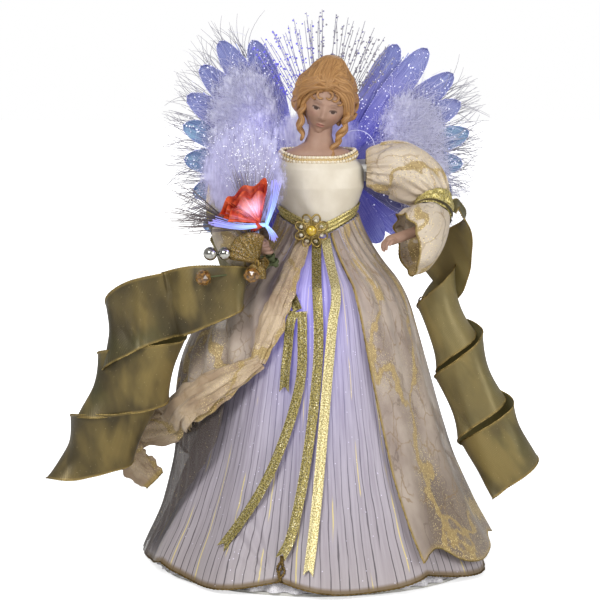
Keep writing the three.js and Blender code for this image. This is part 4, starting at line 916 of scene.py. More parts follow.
def build_brooch():
    setting, stones = Shape(), Shape()
    turn = rows(25, 0, TAU)
    for i in range(STONES):
        way = TAU * (i + 0.5) / STONES
        out, side = array([cos(way), 0, sin(way)]), array([-sin(way), 0, cos(way)])
        middle = BROOCH + out * 8.0
        setting.tubes(middle + 4.3 * cos(turn) * out + 3.0 * sin(turn) * side, 0.75, 6)
        stones.beads(middle + [0, -0.8, 0], [(1.5, 1.1, 1.5)], 2)
    setting.beads(BROOCH + [0, 1.2, 0], [(7.5, 1.2, 7.5)], 3)
    setting.tubes(BROOCH + 4.3 * cos(turn) * [1, 0, 0] + 4.3 * sin(turn) * [0, 0, 1] - [0, 0.6, 0], 0.7, 6)
    setting.make("brooch_frame", "base", "antique_gold", "antique_gold", "brooch_setting")
    stones.make("brooch_crystals", "base", "crystal", "antique_gold")
    gem = Shape().beads(BROOCH + [0, -0.8, 0], [(3.7, 2.6, 3.7)], 3)
    gem.make("brooch_stone", "base", "yellow_stone", "yellow_stone", "brooch_gem")


def tail_strip(route, notch):
    """A narrow band that hangs on the skirt through stops of an angle and a drop, with or without a notch."""
    many = 120
    path = spline(route, many)
    angle, z = radians(path[:, 0]), TAIL_TOP - path[:, 1]
    lift = 2.0 + 0.6 * sin(np.arange(many) / 11.0)
    middle = polar(angle, skirt_at(angle, z) + fold_depth(z) + lift, z)
    out = polar(angle, 1.0, 0.0)
    along = unit(np.gradient(middle, axis=0))
    across = unit(np.cross(out, along))
    share = steps(9, -1, 1)
    points = middle[:, None] + across[:, None] * (share * TAIL_W / 2)[:, None]
    points = points + out[:, None] * (0.5 * share ** 2 + 0.25 * sin(3 * share))[:, None]
    if notch:
        near_end = smooth(np.arange(many), many - 9, many - 1)[:, None]
        points = points - along[:, None] * (4.5 * near_end * (1 - abs(share)))[..., None]
    return points, (share * TAIL_W / 2, lengths(middle)[:, None])


def build_tails():
    for name, route in TAILS.items():
        points, uv = tail_strip(route, name != "sash_loop")
        look = "pale_lame" if name == "sash_tail_bright" else "olive_lame"
        flat = (0.01, float(lengths(points[:, 4])[-1]) * 1.02 * MM)
        Shape().grid(points, uv).make(name + "_cloth", "base", look, "gold_lame", name, flat=flat,
                                      held="hung", on="underskirt_cloth")


# Head and hair

HEAD = array([5.0, -3.0, 335.2])
EYE_X = 6.3
FACE_X, FACE_DEEP, FACE_UP, FACE_DOWN = 15.4, 16.5, 20.0, 22.6
NECK_FORM = array([(295.5, 25.2, 13.4), (300, 25.4, 13.6), (302.5, 22, 12.5), (305, 15.5, 10.8),
                   (308, 10.8, 9.2), (313, 8.8, 8.2), (318, 8.6, 8), (324, 8.8, 8.4)])
HAIR_LINE = array([(-15, 11.5), (-10, 14.5), (-6, 17.4), (-2, 20.0), (2, 21.4), (8, 22.4), (14, 22.3),
                   (20, 20.0), (27, 13.8), (31, 10.4), (34, 7.4), (35.4, 4.6), (36, 1.2)])
LOCK_POINTS, CURL_POINTS = 30, 44
# How many locks there are of a kind, the stops of the first, how these move from lock to lock, and their sway
LOCKS = {
    "wave": (5, [(3, 14.6, -0.6), (17, 15.6, -0.4), (34, 12.8, -0.3), (50, 9.8, 0.4), (64, 5.0, 0.2),
                 (80, 4.0, 0.9), (104, -1, -0.4)],
             [(0, 1.4, -0.5), (0, 1.5, -0.5), (0, 1.8, -0.5), (0, 2.0, -0.5), (0, 2.2, -0.5), (0, 2.3, -0.6),
              (0, 2.5, -0.5)], 1.2),
    "frame": (4, [(1.5, 12.4, 15.2), (7.0, 11.8, 13.6), (12.0, 9.4, 8.6), (14.6, 6.6, 2.4), (16.0, 4.8, -3.4),
                  (18.2, 3.8, -6.2), (20.4, 3.2, -3.4)],
              [(1, 0.3, 1.5), (1.2, -0.4, 1.4), (1.3, -0.8, 1.2), (1.4, -1.0, 0.6), (1.4, -1.2, 0),
               (1.3, -1.2, 0.8), (1.0, -1.2, 1.2)], 0),
    "side": (6, [(54, 9, -0.6), (60, 3.6, 0.2), (70, -1.6, 0.6), (82, -3.4, 1.8), (92, -0.4, 2.6),
                 (95, 3.0, 2.0)],
             [(5, -1.2, 0), (5, -1.4, 0), (6, -1.1, 0), (6, -0.7, 0), (5, -0.6, 0), (5, -0.6, 0)], 0),
}
# Each curl's place beside the forehead's middle, its turn and its size
CURLS = ((-9.0, -1, 2.0), (-4.6, -1, 2.4), (-0.4, 1, 2.3), (4.4, 1, 2.2), (8.8, 1, 2.0))
RINGLETS = [
    [(-15.6, 6, 0), (-16.6, 8, -6), (-17.0, 8, -15), (-15.6, 6, -24)],
    [(-17.4, 2, -1), (-18.0, 3, -8), (-17.0, 3, -17), (-14.6, 2, -26)],
    [(15.8, 6, -2), (15.4, 8, -8), (14.0, 8, -14), (12.6, 7, -20)],
    [(17.4, 2, -2), (16.4, 4, -11), (13.0, 5, -20), (8.4, 7, -29)],
    [(13.0, 3, -16), (10.6, 6, -24), (7.0, 10, -31), (6.0, 13, -37)],
]


def head_axes(tilt, nod, aside):
    """Ways to the right, front and up after a nod, a tilt and a look to the side, in degrees."""
    tilt, nod, aside = radians([tilt, nod, aside])
    right = array([1.0, 0, 0])
    front = array([0, -cos(nod), -sin(nod)])
    up = array([0, -sin(nod), cos(nod)])
    up, right = up * cos(tilt) + right * sin(tilt), right * cos(tilt) - up * sin(tilt)
    turned = front * cos(aside) + right * sin(aside)
    return np.stack([right * cos(aside) - front * sin(aside), turned, up])


FACE_AXES = head_axes(15.5, 10, -2)
HAIR_AXES = head_axes(3, 5, 0)


def on_face(local):
    """Points given to the right, front and up of the head's middle, along the face."""
    return HEAD + local @ FACE_AXES


def on_hair(local):
    """Points given to the right, front and up of the head's middle, along the hair."""
    return HEAD + local @ HAIR_AXES


def face_relief(x, u):
    """How far a calm doll's face stands out at a place right of and above its middle."""
    off = abs(x)
    nose = bell(x, 0, 1.9) * (3.0 * bell(u, -5.8, 2.3) + 1.4 * bell(u, -1.7, 3.2))
    nose = nose + 0.7 * bell(off, 2.0, 1.0) * bell(u, -6.4, 1.1)
    eyes = 1.3 * bell(off, EYE_X, 2.5) * bell(u, 0.7, 1.3) - 1.8 * bell(off, EYE_X, 3.4) * bell(u, 0.9, 2.2)
    brow = 0.6 * bell(off, EYE_X, 4.4) * bell(u, 4.5, 1.2)
    cheeks = 0.8 * bell(off, 7.4, 3.8) * bell(u, -5.0, 3.4)
    lips = bell(x, 0, 2.8) * (bell(u, -11.4, 0.8) + 1.1 * bell(u, -13.2, 0.9) - 0.5 * bell(u, -12.3, 0.35))
    return nose + eyes + brow + cheeks + lips + 1.8 * bell(x, 0, 3.6) * bell(u, -18.4, 2.4)


def face_paint(x, u):
    """How white, dark and red a place on the face is."""
    off = abs(x) - EYE_X
    white = smooth((off / 2.6) ** 2 + ((u + 0.4) / 1.1) ** 2, 1.15, 0.85)
    iris = smooth((off / 1.7) ** 2 + ((u + 0.4) / 1.25) ** 2, 1.2, 0.8)
    lash = bell(u, 0.7 - 0.09 * off ** 2, 0.75) * smooth(abs(off), 3.2, 2.5)
    crease = bell(u, 2.5 - 0.09 * off ** 2, 0.3) * smooth(abs(off), 3.0, 2.0)
    brows = bell(u, 5.1 - 0.07 * (off + 0.6) ** 2, 0.45) * smooth(abs(off), 3.6, 2.6)
    lips = smooth((x / 3.1) ** 2 + ((u + 12.3) / 1.6) ** 2, 1.15, 0.75)
    blush = 0.2 * bell(off, 1.7, 3.0) * bell(u, -4.6, 2.6)
    return white, np.maximum.reduce([iris, lash * 0.95, brows * 0.45, crease * 0.3]), lips * 0.55 + blush


def build_head():
    lat, lon = rows(180, -PI / 2 + 0.02, PI / 2 - 0.02), columns(241, PI, -PI)
    u = np.where(lat < 0, FACE_DOWN, FACE_UP) * sin(lat) + 0 * lon
    x = -FACE_X * cos(lat) * sin(lon) * (1 - 0.4 * smooth(-u, 2, 21))
    f = FACE_DEEP * cos(lat) * cos(lon) * (1 - 0.16 * smooth(-u, 4, 21))
    facing = smooth(cos(lon), 0.1, 0.6)
    white, dark, red = (facing * paint for paint in face_paint(x, u))
    points = on_face(join(x, f + facing * face_relief(x, u), u))
    shape = Shape().grid(points, (lon, lat), tone=white * (1 - dark) * 0.35, edge=dark,
                         glow=np.clip(red, 0, 1))
    z, turn = rows(36, NECK_FORM[0, 0], NECK_FORM[-1, 0]), columns(73, -PI, PI)
    half_x, half_y = (interp(z, NECK_FORM[:, 0], half) for half in NECK_FORM.T[1:])
    lean = smooth(z, 300, 324)
    shape.grid(join(half_x * sin(turn) + 2.0 * lean, -half_y * cos(turn) - 1.0 * lean, z), (turn, z))
    shape.make("head_skin", "base", "skin", "painted_resin", "head")


def hair_at(lon, u, out=0.0):
    """A place on the hair's dome: an angle from the front and a height, and how far off it."""
    half = interp(u, *HAIR_LINE.T)
    middle = lerp(-2.5, -3.5, smooth(u, 0, 30))
    deep = half * np.where(cos(lon) > 0, lerp(0.83, 0.96, smooth(u, 10, 26)), 0.86)
    return join((half + out) * sin(lon) + 2.8 * smooth(u, 18, 36), middle + (deep + out) * cos(lon), u)


def on_dome(stops):
    """Points from angles in degrees, heights and distances off the hair's dome."""
    lon, u, out = stops.T
    return on_hair(hair_at(radians(lon), u, out))


def lock_paths(kind, place, sign):
    """The locks of a kind on one side of the head."""
    count, first, move, sway = LOCKS[kind]
    paths = []
    for i in range(count):
        stops = (array(first) + i * array(move)) * [sign, 1, 1]
        stops[1::2, 1] += sway * math.sin(2.1 * i + sign)
        paths.append(place(spline(stops, LOCK_POINTS)))
    return array(paths)


def build_hair():
    """A smooth dome grooved from a part at the front, with painted shade in the grooves, and waved locks
    round the face.
    """
    rng = np.random.default_rng(5)
    u, lon = rows(150, HAIR_LINE[0, 0], HAIR_LINE[-1, 0]), columns(421, -PI, PI)
    away = np.sqrt((lon * 22) ** 2 + (u - 17) ** 2)
    flow = np.arctan2(lon * 22, u - 15) + 0.2 * sin(away / 5)
    groove = 0.5 * cos(19 * flow) + 0.3 * cos(33 * flow + 1.3) + 0.5 * cos(8 * flow + 0.4)
    groove = groove * smooth(away, 1, 8) * smooth(u, 36, 31)
    face = smooth(cos(lon), 0.4, 0.66) * smooth(u, 14.5, 12)
    mass = hair_at(lon, u, -0.3 + 0.6 * groove) * (1 - 0.42 * face)[..., None]
    # The dome's tone is painted shade: deepest in the grooves, and a little over the whole dome.
    shape = Shape().grid(on_hair(mass), (flow * 2.2, away / 9), tone=np.clip(0.08 - 0.25 * groove, 0, 0.45))
    swell = 0.35 + 0.65 * sin(PI * np.clip(steps(LOCK_POINTS), 0.02, 0.98)) ** 0.6
    kinds = (("wave", on_dome, 2.3, 0.25), ("frame", on_face, 2.3, 0.3), ("side", on_dome, 2.1, 0.3))
    for sign in (-1, 1):
        for kind, place, radius, shade in kinds:
            paths = lock_paths(kind, place, sign)
            shape.tubes(paths, radius * swell, 10, tone=rng.uniform(0, shade, len(paths)))
    build_curls(shape, rng)
    shape.make("hair_locks", "base", "hair", "hair_resin", "hair")


def build_curls(shape, rng):
    """Small curls on the forehead, and ringlets beside the cheeks and the neck."""
    t = steps(CURL_POINTS)
    wisps, ringlets = [], []
    for x, turn, size in CURLS:
        spin = turn * (t * 4.4 - 0.4)
        side = x + size * (sin(spin) + turn * 0.4)
        up = 13.0 - 0.045 * x * x + size * (cos(spin) - 1)
        front = FACE_DEEP * np.sqrt(np.maximum(1 - (side / FACE_X) ** 2 - (up / FACE_UP) ** 2, 0.05)) + 0.8
        wisps.append(join(side, front, up))
    shape.tubes(on_face(array(wisps)), 1.25 * (1 - 0.5 * t), 8, tone=rng.uniform(0.1, 0.5, len(CURLS)))
    for i, route in enumerate(RINGLETS):
        spin = t * TAU * 2.2 + 1.7 * i
        ringlets.append(spline(route, CURL_POINTS) + 1.2 * join(cos(spin), sin(spin), 0))
    shape.tubes(on_hair(array(ringlets)), 2.1 * (1 - 0.5 * t ** 3), 9,
                tone=rng.uniform(0, 0.35, len(RINGLETS)))


# Arms

SIGN = {"left": 1, "right": -1}
SHOULDER = {side: array([34.1 * sign, 0, 289.0]) for side, sign in SIGN.items()}
ARM_REACH = {
    "left": [(0, 0, 0), (9, 0, 0), (28, 2, -2), (48, 13, -21), (42, 32, -38), (12, 50, -48)],
    "right": [(0, 0, 0), (9, 0, 0), (23, 4, -5), (32, 22, -25), (26, 43, -41), (5, 60, -49)],
}
SLEEVE_L, BAND_L, CUFF_L = 58.5, 13.0, 30.0
SLEEVE_PUFF = {"left": 9.0, "right": 5.0}
CUFF_SAG = {"left": 14.0, "right": 5.0}
BAND_AT = SLEEVE_L + 0.6
CUFF_AT = BAND_AT + BAND_L + 0.6
BAND_R = 13.0
FINGERS = (6.4, 7.6, 7.2, 5.8)


def arm_curve(side):
    return spline([SHOULDER[side] + [SIGN[side] * out, -front, up] for out, front, up in ARM_REACH[side]],
                  400)


def arm_rings(side, start, end, many, wide):
    """Middles, ways along, and rings round an arm between two distances from the shoulder."""
    curve = arm_curve(side)
    at, where = steps(many, start, end), lengths(curve)
    along = unit(sample(at, where, unit(np.gradient(curve, axis=0))))
    across = unit(np.cross(along, [0.0, 1.0, 0.0]))
    turn = columns(wide, 0, TAU) * SIGN[side]
    ring = across[:, None] * cos(turn)[..., None] + np.cross(along, across)[:, None] * sin(turn)[..., None]
    return sample(at, where, curve)[:, None], along[:, None], ring, turn


def build_sleeve(side):
    middle, _, ring, turn = arm_rings(side, 0.5, SLEEVE_L, 90, 240)
    share = rows(len(middle))
    puff = lerp(11.5, BAND_R - 1, share) + SLEEVE_PUFF[side] * sin(PI * share) ** 0.8
    pinch = 0.3 + bell(share, 0.06, 0.24) + bell(share, 1, 0.2)
    gather = 1.1 * cos(15 * turn + 1.3 * sin(4 * turn)) * pinch
    crease = 1.3 * cos(5 * turn + 7 * share) * sin(PI * share)
    shape = Shape().grid(middle + ring * (puff + gather + crease)[..., None], (turn * 20, share * SLEEVE_L),
                         edge=0.35 * smooth(share, 0.1, 0.02))
    shape.make(f"sleeve_{side}_cloth", "arm_" + side, "sleeve_brocade", "brocade", "sleeve_" + side,
               flat=(0.13, 0.075), on="torso_core")


def build_band(side):
    middle, _, ring, turn = arm_rings(side, BAND_AT - 0.8, BAND_AT + BAND_L + 0.8, 21, 121)
    share = rows(len(middle), -1, 1)
    swell = BAND_R + 0.9 + 0.4 * cos(share * PI * 2.5) - 0.9 * share ** 4 + 0.4 * cos(9 * turn + 3 * share)
    shape = Shape().grid(middle + ring * swell[..., None], (turn * 14, share * 7))
    shape.make(f"cuff_band_{side}_cloth", "arm_" + side, "band_lame", "gold_lame", "cuff_band_" + side)


def build_cuff(side):
    middle, along, ring, turn = arm_rings(side, CUFF_AT, CUFF_AT + CUFF_L, 70, 240)
    share = rows(len(middle))
    flare = lerp(BAND_R - 1, 18.6, sin(PI / 2 * share ** 0.7)) - 3.0 * smooth(share, 0.65, 1)
    ruffle = 1.1 * cos(7 * turn + 0.8 * sin(2 * turn)) * (share ** 1.5 + 0.5 * smooth(share, 0.3, 0))
    points = middle + ring * (flare + ruffle)[..., None]
    points = points + along * (1.2 * cos(7 * turn + 1.2) * share ** 2)[..., None]
    points[..., 2] += CUFF_SAG[side] * sin(PI / 2 * share) * np.minimum(0, ring[..., 2])
    shape = Shape().grid(points, (turn * 17, share * CUFF_L), edge=smooth(share, 0.94, 0.97))
    shape.make(f"bell_cuff_{side}_cloth", "arm_" + side, "sleeve_brocade", "brocade", "bell_cuff_" + side,
               flat=(0.12, 0.045), on=f"sleeve_{side}_cloth")
    edge_band(points[-1], 0.5, f"bell_cuff_{side}_edge", "arm_" + side)


def build_hand(side):
    curve = arm_curve(side)
    end = curve[-1]
    along = unit(end - curve[-40])
    across = unit(np.cross(along, [0.0, 0.0, 1.0]))
    wrist = spline([curve[-170], curve[-110], curve[-60], end - along * 6], 24)
    shape = Shape().tubes(wrist, steps(24, 3.6, 3.9), 14)
    if side == "left":
        open_hand(shape, end - along * 6.5, along, across)
    else:
        fist(shape, end, along, across)
    shape.make(f"hand_{side}_skin", "arm_" + side, "skin", "painted_resin", "hand_" + side)


def fist(shape, end, along, across):
    """A palm with four fingers round the bouquet's stem."""
    shape.beads(end - along * 1.5, [(5.6, 5.2, 5.6)], 3)
    turn = rows(12, -1.9, 1.7)
    for i in range(4):
        middle = end - along * 1.0 + array([0.45, 0.5, -0.74]) * (3.4 * i - 5.1)
        shape.tubes(middle + along * 4.6 * cos(turn) - across * 4.6 * sin(turn), steps(12, 1.75, 1.3), 9)


def open_hand(shape, palm, along, across):
    """A palm with four bent fingers and a thumb."""
    up = np.cross(across, along)
    shape.beads(palm, [(4.8, 5.2, 3.6)], 3)
    for i, reach in enumerate(FINGERS):
        start = palm + along * 2.6 + across * (2.2 * i - 3.2)
        knuckle = start + along * reach * 0.5 - up * (reach * 0.24)
        shape.tubes(spline([start, knuckle, start + along * reach * 0.75 - up * (reach * 0.8)], 12),
                    steps(12, 1.5, 0.9), 9)
    thumb = [palm - across * 3.5, palm - across * 5.4 + along * 2.4,
             palm - across * 4.6 + along * 5.2 - up * 2]
    shape.tubes(spline(thumb, 12), steps(12, 1.6, 0.95), 9)


# Ribbons of the stole

STOLE_W = 47.0
STOLE_STEP = 0.6
LINING_OFF = 0.45
STOLE_HALF_Y = 14.0
STOLE_TURNS = {"left": 2.75, "right": 2.4}
STOLE_START = {"left": radians(90), "right": radians(-50)}
# How much painted light lies on each stole.
STOLE_PAINTED_LIGHT = {"left": 0.38, "right": 0.0}
STOLE_HALF_X = {"left": (12, 22), "right": (26, 24)}
STOLE_SIDE = {"left": array([0.925, 0, 0.38]), "right": array([1.0, 0, 0])}
STOLE_AXIS = {
    "left": [(84.8, 8, 204), (95.5, 2, 172), (113.7, -10, 122), (137.6, -8, 76)],
    "right": [(-121, -48, 198), (-130, -50, 150), (-151, -44, 104), (-159, -40, 88)],
}
STOLE_LEAD = {
    "left": [(101, -8, 264), (106, -4, 244)],
    "right": [(-75, 3, 243), (-72, -6, 230), (-66, -30, 220), (-58, -51, 215), (-52, -61, 212),
              (-60, -68, 210), (-86, -64, 204)],
}
LEAD_EASE = {"left": (0.1, 0.9), "right": (0.3, 1.0)}
FIRST_DIP = {"left": 0.0, "right": 15.0}


def ribbon_grid(path, across, width, cup):
    """A ribbon's points and its place across and along, with its wired edges waving a little."""
    share = columns(25, -1, 1)
    along = unit(np.gradient(path, axis=0))
    across = unit(across - along * np.sum(across * along, axis=1, keepdims=True))
    out = np.cross(along, across)
    length, half = lengths(path)[:, None], width[:, None] / 2
    wave = cup * (share ** 2 - 0.4) + 1.3 * share ** 3 * sin(length / 15)
    slant = length + 9 * share
    crease = 1.2 * sin(slant / 8 + 2 * sin(slant / 29)) * cos(1.2 * share)
    crease = crease + 0.5 * sin(slant / 3.7 + 3 * sin(slant / 41))
    lift = (wave + crease) * width[:, None] / STOLE_W
    points = path[:, None] + across[:, None] * (share * half)[..., None] + out[:, None] * lift[..., None]
    return points, (length, share * half), smooth(abs(share), 0.95, 1.0)


def stole_coil(side):
    """The path and the way across of the part of a ribbon that winds down its axis."""
    axis = spline(STOLE_AXIS[side], 400)
    wound, pick = steps(220), np.arange(len(axis))
    full, start = TAU * STOLE_TURNS[side], STOLE_START[side]
    turn = start - full * wound
    fall = wound + STOLE_STEP * (cos(turn) - cos(start)) / full
    at = np.clip(fall / fall[-1], 0, 1) * pick[-1]
    across = -sample(at, pick, unit(np.gradient(axis, axis=0)))
    half_x = lerp(*STOLE_HALF_X[side], wound)
    coil = sample(at, pick, axis) + STOLE_SIDE[side] * (half_x * cos(turn))[:, None]
    coil[:, 1] += STOLE_HALF_Y * sin(turn)
    coil[:, 2] -= FIRST_DIP[side] * bell(turn, -PI, 1.0)
    return coil, across


def stole_paths(side):
    """The path, the way across and the width of a ribbon that leaves the arm and winds down its axis."""
    coil, across = stole_coil(side)
    middle, way, _, _ = arm_rings(side, BAND_AT + BAND_L / 2, BAND_AT + BAND_L / 2 + 0.1, 2, 8)
    middle, way = middle[0, 0], way[0, 0]
    away = array(STOLE_LEAD[side][0], float) - middle
    away = unit(away - way * (away @ way))
    lead = spline([middle + away * (BAND_R + 0.6), *STOLE_LEAD[side], coil[0]], 90)[:-1]
    share = rows(len(lead))
    lead_across = unit(lerp(way * np.sign(way @ across[0]), across[0], smooth(share, 0, 0.5)))
    lead_width = lerp(7.0, STOLE_W, smooth(share[:, 0], *LEAD_EASE[side]))
    width = np.r_[lead_width, np.full(len(coil), STOLE_W)]
    return np.vstack([lead, coil]), np.vstack([lead_across, across]), width


def build_stole(side):
    body, cloth = "arm_" + side, f"stole_{side}_cloth"
    path, across, width = stole_paths(side)
    points, uv, edge = ribbon_grid(path, across, width, 1.2)
    inward = unit(np.cross(np.gradient(points, axis=0), np.gradient(points, axis=1)))
    lining = Shape().grid(points + inward * LINING_OFF, uv)
    wires = Shape()
    for column in (0, -1):
        wires.twine(spline(points[:, column], 900), 0.5, 0.22, 2.1)
    # Painted light on the stole, strongest at its top and fading down the coil.
    shape = Shape().grid(points, uv, edge=edge, tone=STOLE_PAINTED_LIGHT[side] * rows(len(path), 1.5, 0.35))
    middle, _, ring, turn = arm_rings(side, BAND_AT + BAND_L - 1.6, BAND_AT + BAND_L + 0.6, 6, 90)
    shape.grid(middle + ring * (BAND_R + 1.5), (turn * 14, rows(6, 0, 5)))
    flat = (STOLE_W * MM, float(lengths(path)[-1]) * MM)
    shape.make(cloth, body, "wired_ribbon", "wired_ribbon", "stole_" + side, flat=flat, held="hung",
               on=f"bell_cuff_{side}_cloth")
    lining.make(f"stole_{side}_lining", body, "wired_ribbon_back", "wired_ribbon", flat=flat, held="laid",
                on=cloth)
    wires.make(f"stole_{side}_wires", body, "gold_cord", "wired_ribbon")


# Bouquet

FIST = array([-39.1, -60.0, 240.0])
STEM_WAY = unit(array([-0.45, -0.5, 0.74]))
COLLAR_HALF = 1.3
NEEDLES_AT, FIBRES_AT, FLOWER_AT = 6.8, 12.6, 17.0
SILVER = [(-36.9, -13, -4), (-26.9, -12, -4)]
AMBER = [(-41.9, -13, -21), (-7.9, -12, -19)]
HAZE_AT = array([-53.0, -52.0, 290.0])
HAZE_SIZE = (33.0, 40.0)
TWIG_END = array([-66.0, -71.0, 261.0])
BUNDLE_KNOT = array([-37.0, -70.0, 256.0])
BUNDLE_ENDS = [((-74, -84, 260), (0, -3, -2)), ((-30.5, -68, 286), (1, -3, 0)), ((-31, -66, 246), (1, -2, 0))]
FLOWER_ROOT = array([-41.0, -72.0, 257.5])
FLOWER_RIM = [(-71, -82, 262), (-67, -85, 271), (-60, -87, 280), (-48, -87, 286), (-37, -82, 288.5),
              (-36, -80, 280)]
BOW_ROOT = FIST + unit(array([-0.55, -0.83, -0.1])) * 9.2 + [1.5, -1.5, -10.0]
BOW_LOOPS = ((170, 78, 24, 5.5), (40, -30, 8, 3.5))
BOW_TAILS = ([(0, 0, 0), (-3, -3, -4), (-6, -3, -10)], [(0, 0, 0), (2, -3, -4), (2, -3, -11)])


def on_stem(along):
    return FIST + STEM_WAY * along


def collar(along):
    """A wrapped collar round the stem."""
    side = unit(np.cross(STEM_WAY, [1.0, 0, 0]))
    turn = rows(60, 0, TAU * 3)
    path = on_stem(along + COLLAR_HALF) + side * 3.0 * cos(turn) + np.cross(side, STEM_WAY) * 3.0 * sin(turn)
    return Shape().tubes(path + STEM_WAY * rows(60, -1.1, 1.1), 0.6, 6)


def build_berries(name, along, places, radius, look, facets):
    """Two berries on wires from a collar; facets make them rough."""
    wires, balls = collar(along), Shape()
    centres = FIST + array(places, float)
    root = on_stem(along + COLLAR_HALF)
    rng = np.random.default_rng(3)
    form, faces = BALLS[2]
    for centre in centres:
        wires.tubes(spline([root, (root + centre) / 2 + [0, 0, -2.0], centre], 16), 0.6, 6)
        if facets:
            bumpy = form * (1 + rng.uniform(-0.06, 0.06, (len(form), 1)))
            balls.add(centre + bumpy * radius, faces, form[:, :2], {})
    if not facets:
        balls.beads(centres, radius, 3)
    piece = balls.make(name + "_balls", "arm_right", look, look, name)
    if facets:
        piece.data.shade_flat()
    wires.make(name + "_wires", "arm_right", "stem_wrap", look)


def build_needles():
    rng = np.random.default_rng(11)
    shape, root, t = collar(NEEDLES_AT), on_stem(NEEDLES_AT + COLLAR_HALF), steps(7)
    path = spline([root, lerp(root, TWIG_END, 0.5) + [0, -1, -2], TWIG_END], 16)
    shape.tubes(path, steps(16, 1.2, 0.6), 6)
    count = 70
    start = lerp(path[8], TWIG_END, rng.uniform(0, 1, count)[:, None])
    slope = radians(rng.uniform(-6, 42, count))
    way = join(-cos(slope), rng.normal(0, 0.12, count), sin(slope))
    shape.tubes(straight(start, way, rng.uniform(28, 44, count), t), 0.32 * (1 - 0.5 * t), 4)
    count = 90
    start = on_stem(14) + rng.normal(0, 2.0, (count, 3))
    way = unit(join(rng.uniform(-0.45, 0.4, count), rng.uniform(-0.1, 0.35, count), 1.0))
    shape.tubes(straight(start, way, rng.uniform(28, 52, count), t), 0.3 * (1 - 0.6 * t), 4)
    shape.make("bouquet_needle_sprig", "arm_right", "needles", "needle_plastic", "bouquet_needles")


def fibre_bundle(rng):
    """Bright fibres that run along the flower's lower edge and up its right side."""
    paths = []
    for end, bow in BUNDLE_ENDS:
        for _ in range(24):
            spread = rng.normal(0, 1.2, 3)
            middle = (BUNDLE_KNOT + end) / 2 + bow + spread * 0.8
            paths.append(spline([BUNDLE_KNOT + spread * 0.4, middle, end + spread * 1.3], 14))
    return array(paths)


def build_fibres():
    """The bright bundle, and a haze of thin fibres with lit tips in a soft puff."""
    rng = np.random.default_rng(12)
    bundle = collar(FIBRES_AT).tubes(fibre_bundle(rng), 0.3, 4, glow=0.8)
    count, t = 230, steps(9)
    s = rng.uniform(0, 1, count)
    fan = unit(unit(join(lerp(0.12, -0.55, s), lerp(-0.05, 0.4, s), 0.87)) + rng.normal(0, 0.07, (count, 3)))
    reach = rng.uniform(40, 80, count)
    paths = straight(on_stem(13.8) + rng.normal(0, 1.6, (count, 3)), fan, reach, t)
    paths[:, :, 0] += rng.normal(0, 4.0, count)[:, None] * t ** 2
    haze = Shape().tubes(paths, 0.07, 3, glow=rng.uniform(0.2, 1, count))
    spots = np.vstack([paths[:, -1], paths[::2, 7], paths[::3, 6], paths[::4, 4]])
    spots, many = spots + rng.normal(0, 1.6, spots.shape), len(spots)
    tips = Shape().beads(spots, rng.uniform(0.2, 0.5, many), glow=rng.uniform(0.4, 1, many),
                         tone=rng.uniform(0.4, 1, many))
    r, turn = rows(18), columns(61, 0, TAU)
    x, z = HAZE_AT[0] - HAZE_SIZE[0] * r * cos(turn), HAZE_AT[2] + HAZE_SIZE[1] * r * sin(turn)
    y = HAZE_AT[1] - 5 * dome(r) + 0.25 * (z - HAZE_AT[2])
    puff = Shape().grid(join(x, y, z), (x, z), tone=1.05 - r ** 2)
    bundle.make("bouquet_fibre_strands", "arm_right", "fibre_bundle", "light_fibre", "bouquet_fibres")
    haze.make("bouquet_fibre_haze", "arm_right", "fibre_haze", "light_fibre")
    tips.make("bouquet_fibre_tips", "arm_right", "spark", "light_fibre")
    puff.make("bouquet_fibre_puff", "arm_right", "fibre_puff", "light_fibre")


def build_flower():
    """Shiny film folded into a fan of three creased layers."""
    share, s = rows(40), columns(120)
    rim = spline(FLOWER_RIM, 120) - FLOWER_ROOT
    shape = Shape()
    for layer in range(3):
        points = FLOWER_ROOT + rim * (1 - 0.12 * layer) * share[..., None]
        fold = abs((s * (6 + layer) + 0.3 * layer) % 1 * 2 - 1) - 0.5
        points[..., 1] += (5.0 * fold - 3.2 * layer - 5 * sin(PI * s)) * share
        points[..., 2] += 1.8 * cos(s * 23 + layer) * share ** 2
        glow = bell(share, 0.62, 0.26) * bell(s, 0.55, 0.22) * (1 if layer == 2 else 0.3)
        shape.grid(points, (s * 40, share * 30 + 20 * layer), glow=glow)
    start = on_stem(FLOWER_AT)
    neck = [start, lerp(start, FLOWER_ROOT, 0.5) + [0, -1, 0], FLOWER_ROOT]
    shape.tubes(spline(neck, 12), steps(12, 2.2, 3.4), 9)
    shape.make("bouquet_flower_film", "arm_right", "film_flower", "red_film", "bouquet_flower",
               flat=(0.14, 0.06), on="bouquet_stem")


def bow_loop(start, end, reach, depth):
    """A puffed loop of mesh gathered at the bow's root: it fans between two angles and comes back behind."""
    t, s = rows(49), columns(61)
    angle = radians(lerp(start, end, s))
    out = reach * (0.82 + 0.18 * sin(PI * s)) * sin(PI * t) ** 0.8
    front = depth * cos(PI * t) * sin(PI * t) ** 0.5 + (0.8 * cos(s * 44) - 3.0) * sin(PI * t)
    return BOW_ROOT + join(out * cos(angle), front, out * sin(angle)), (s * reach * 1.6, t * reach * 2)


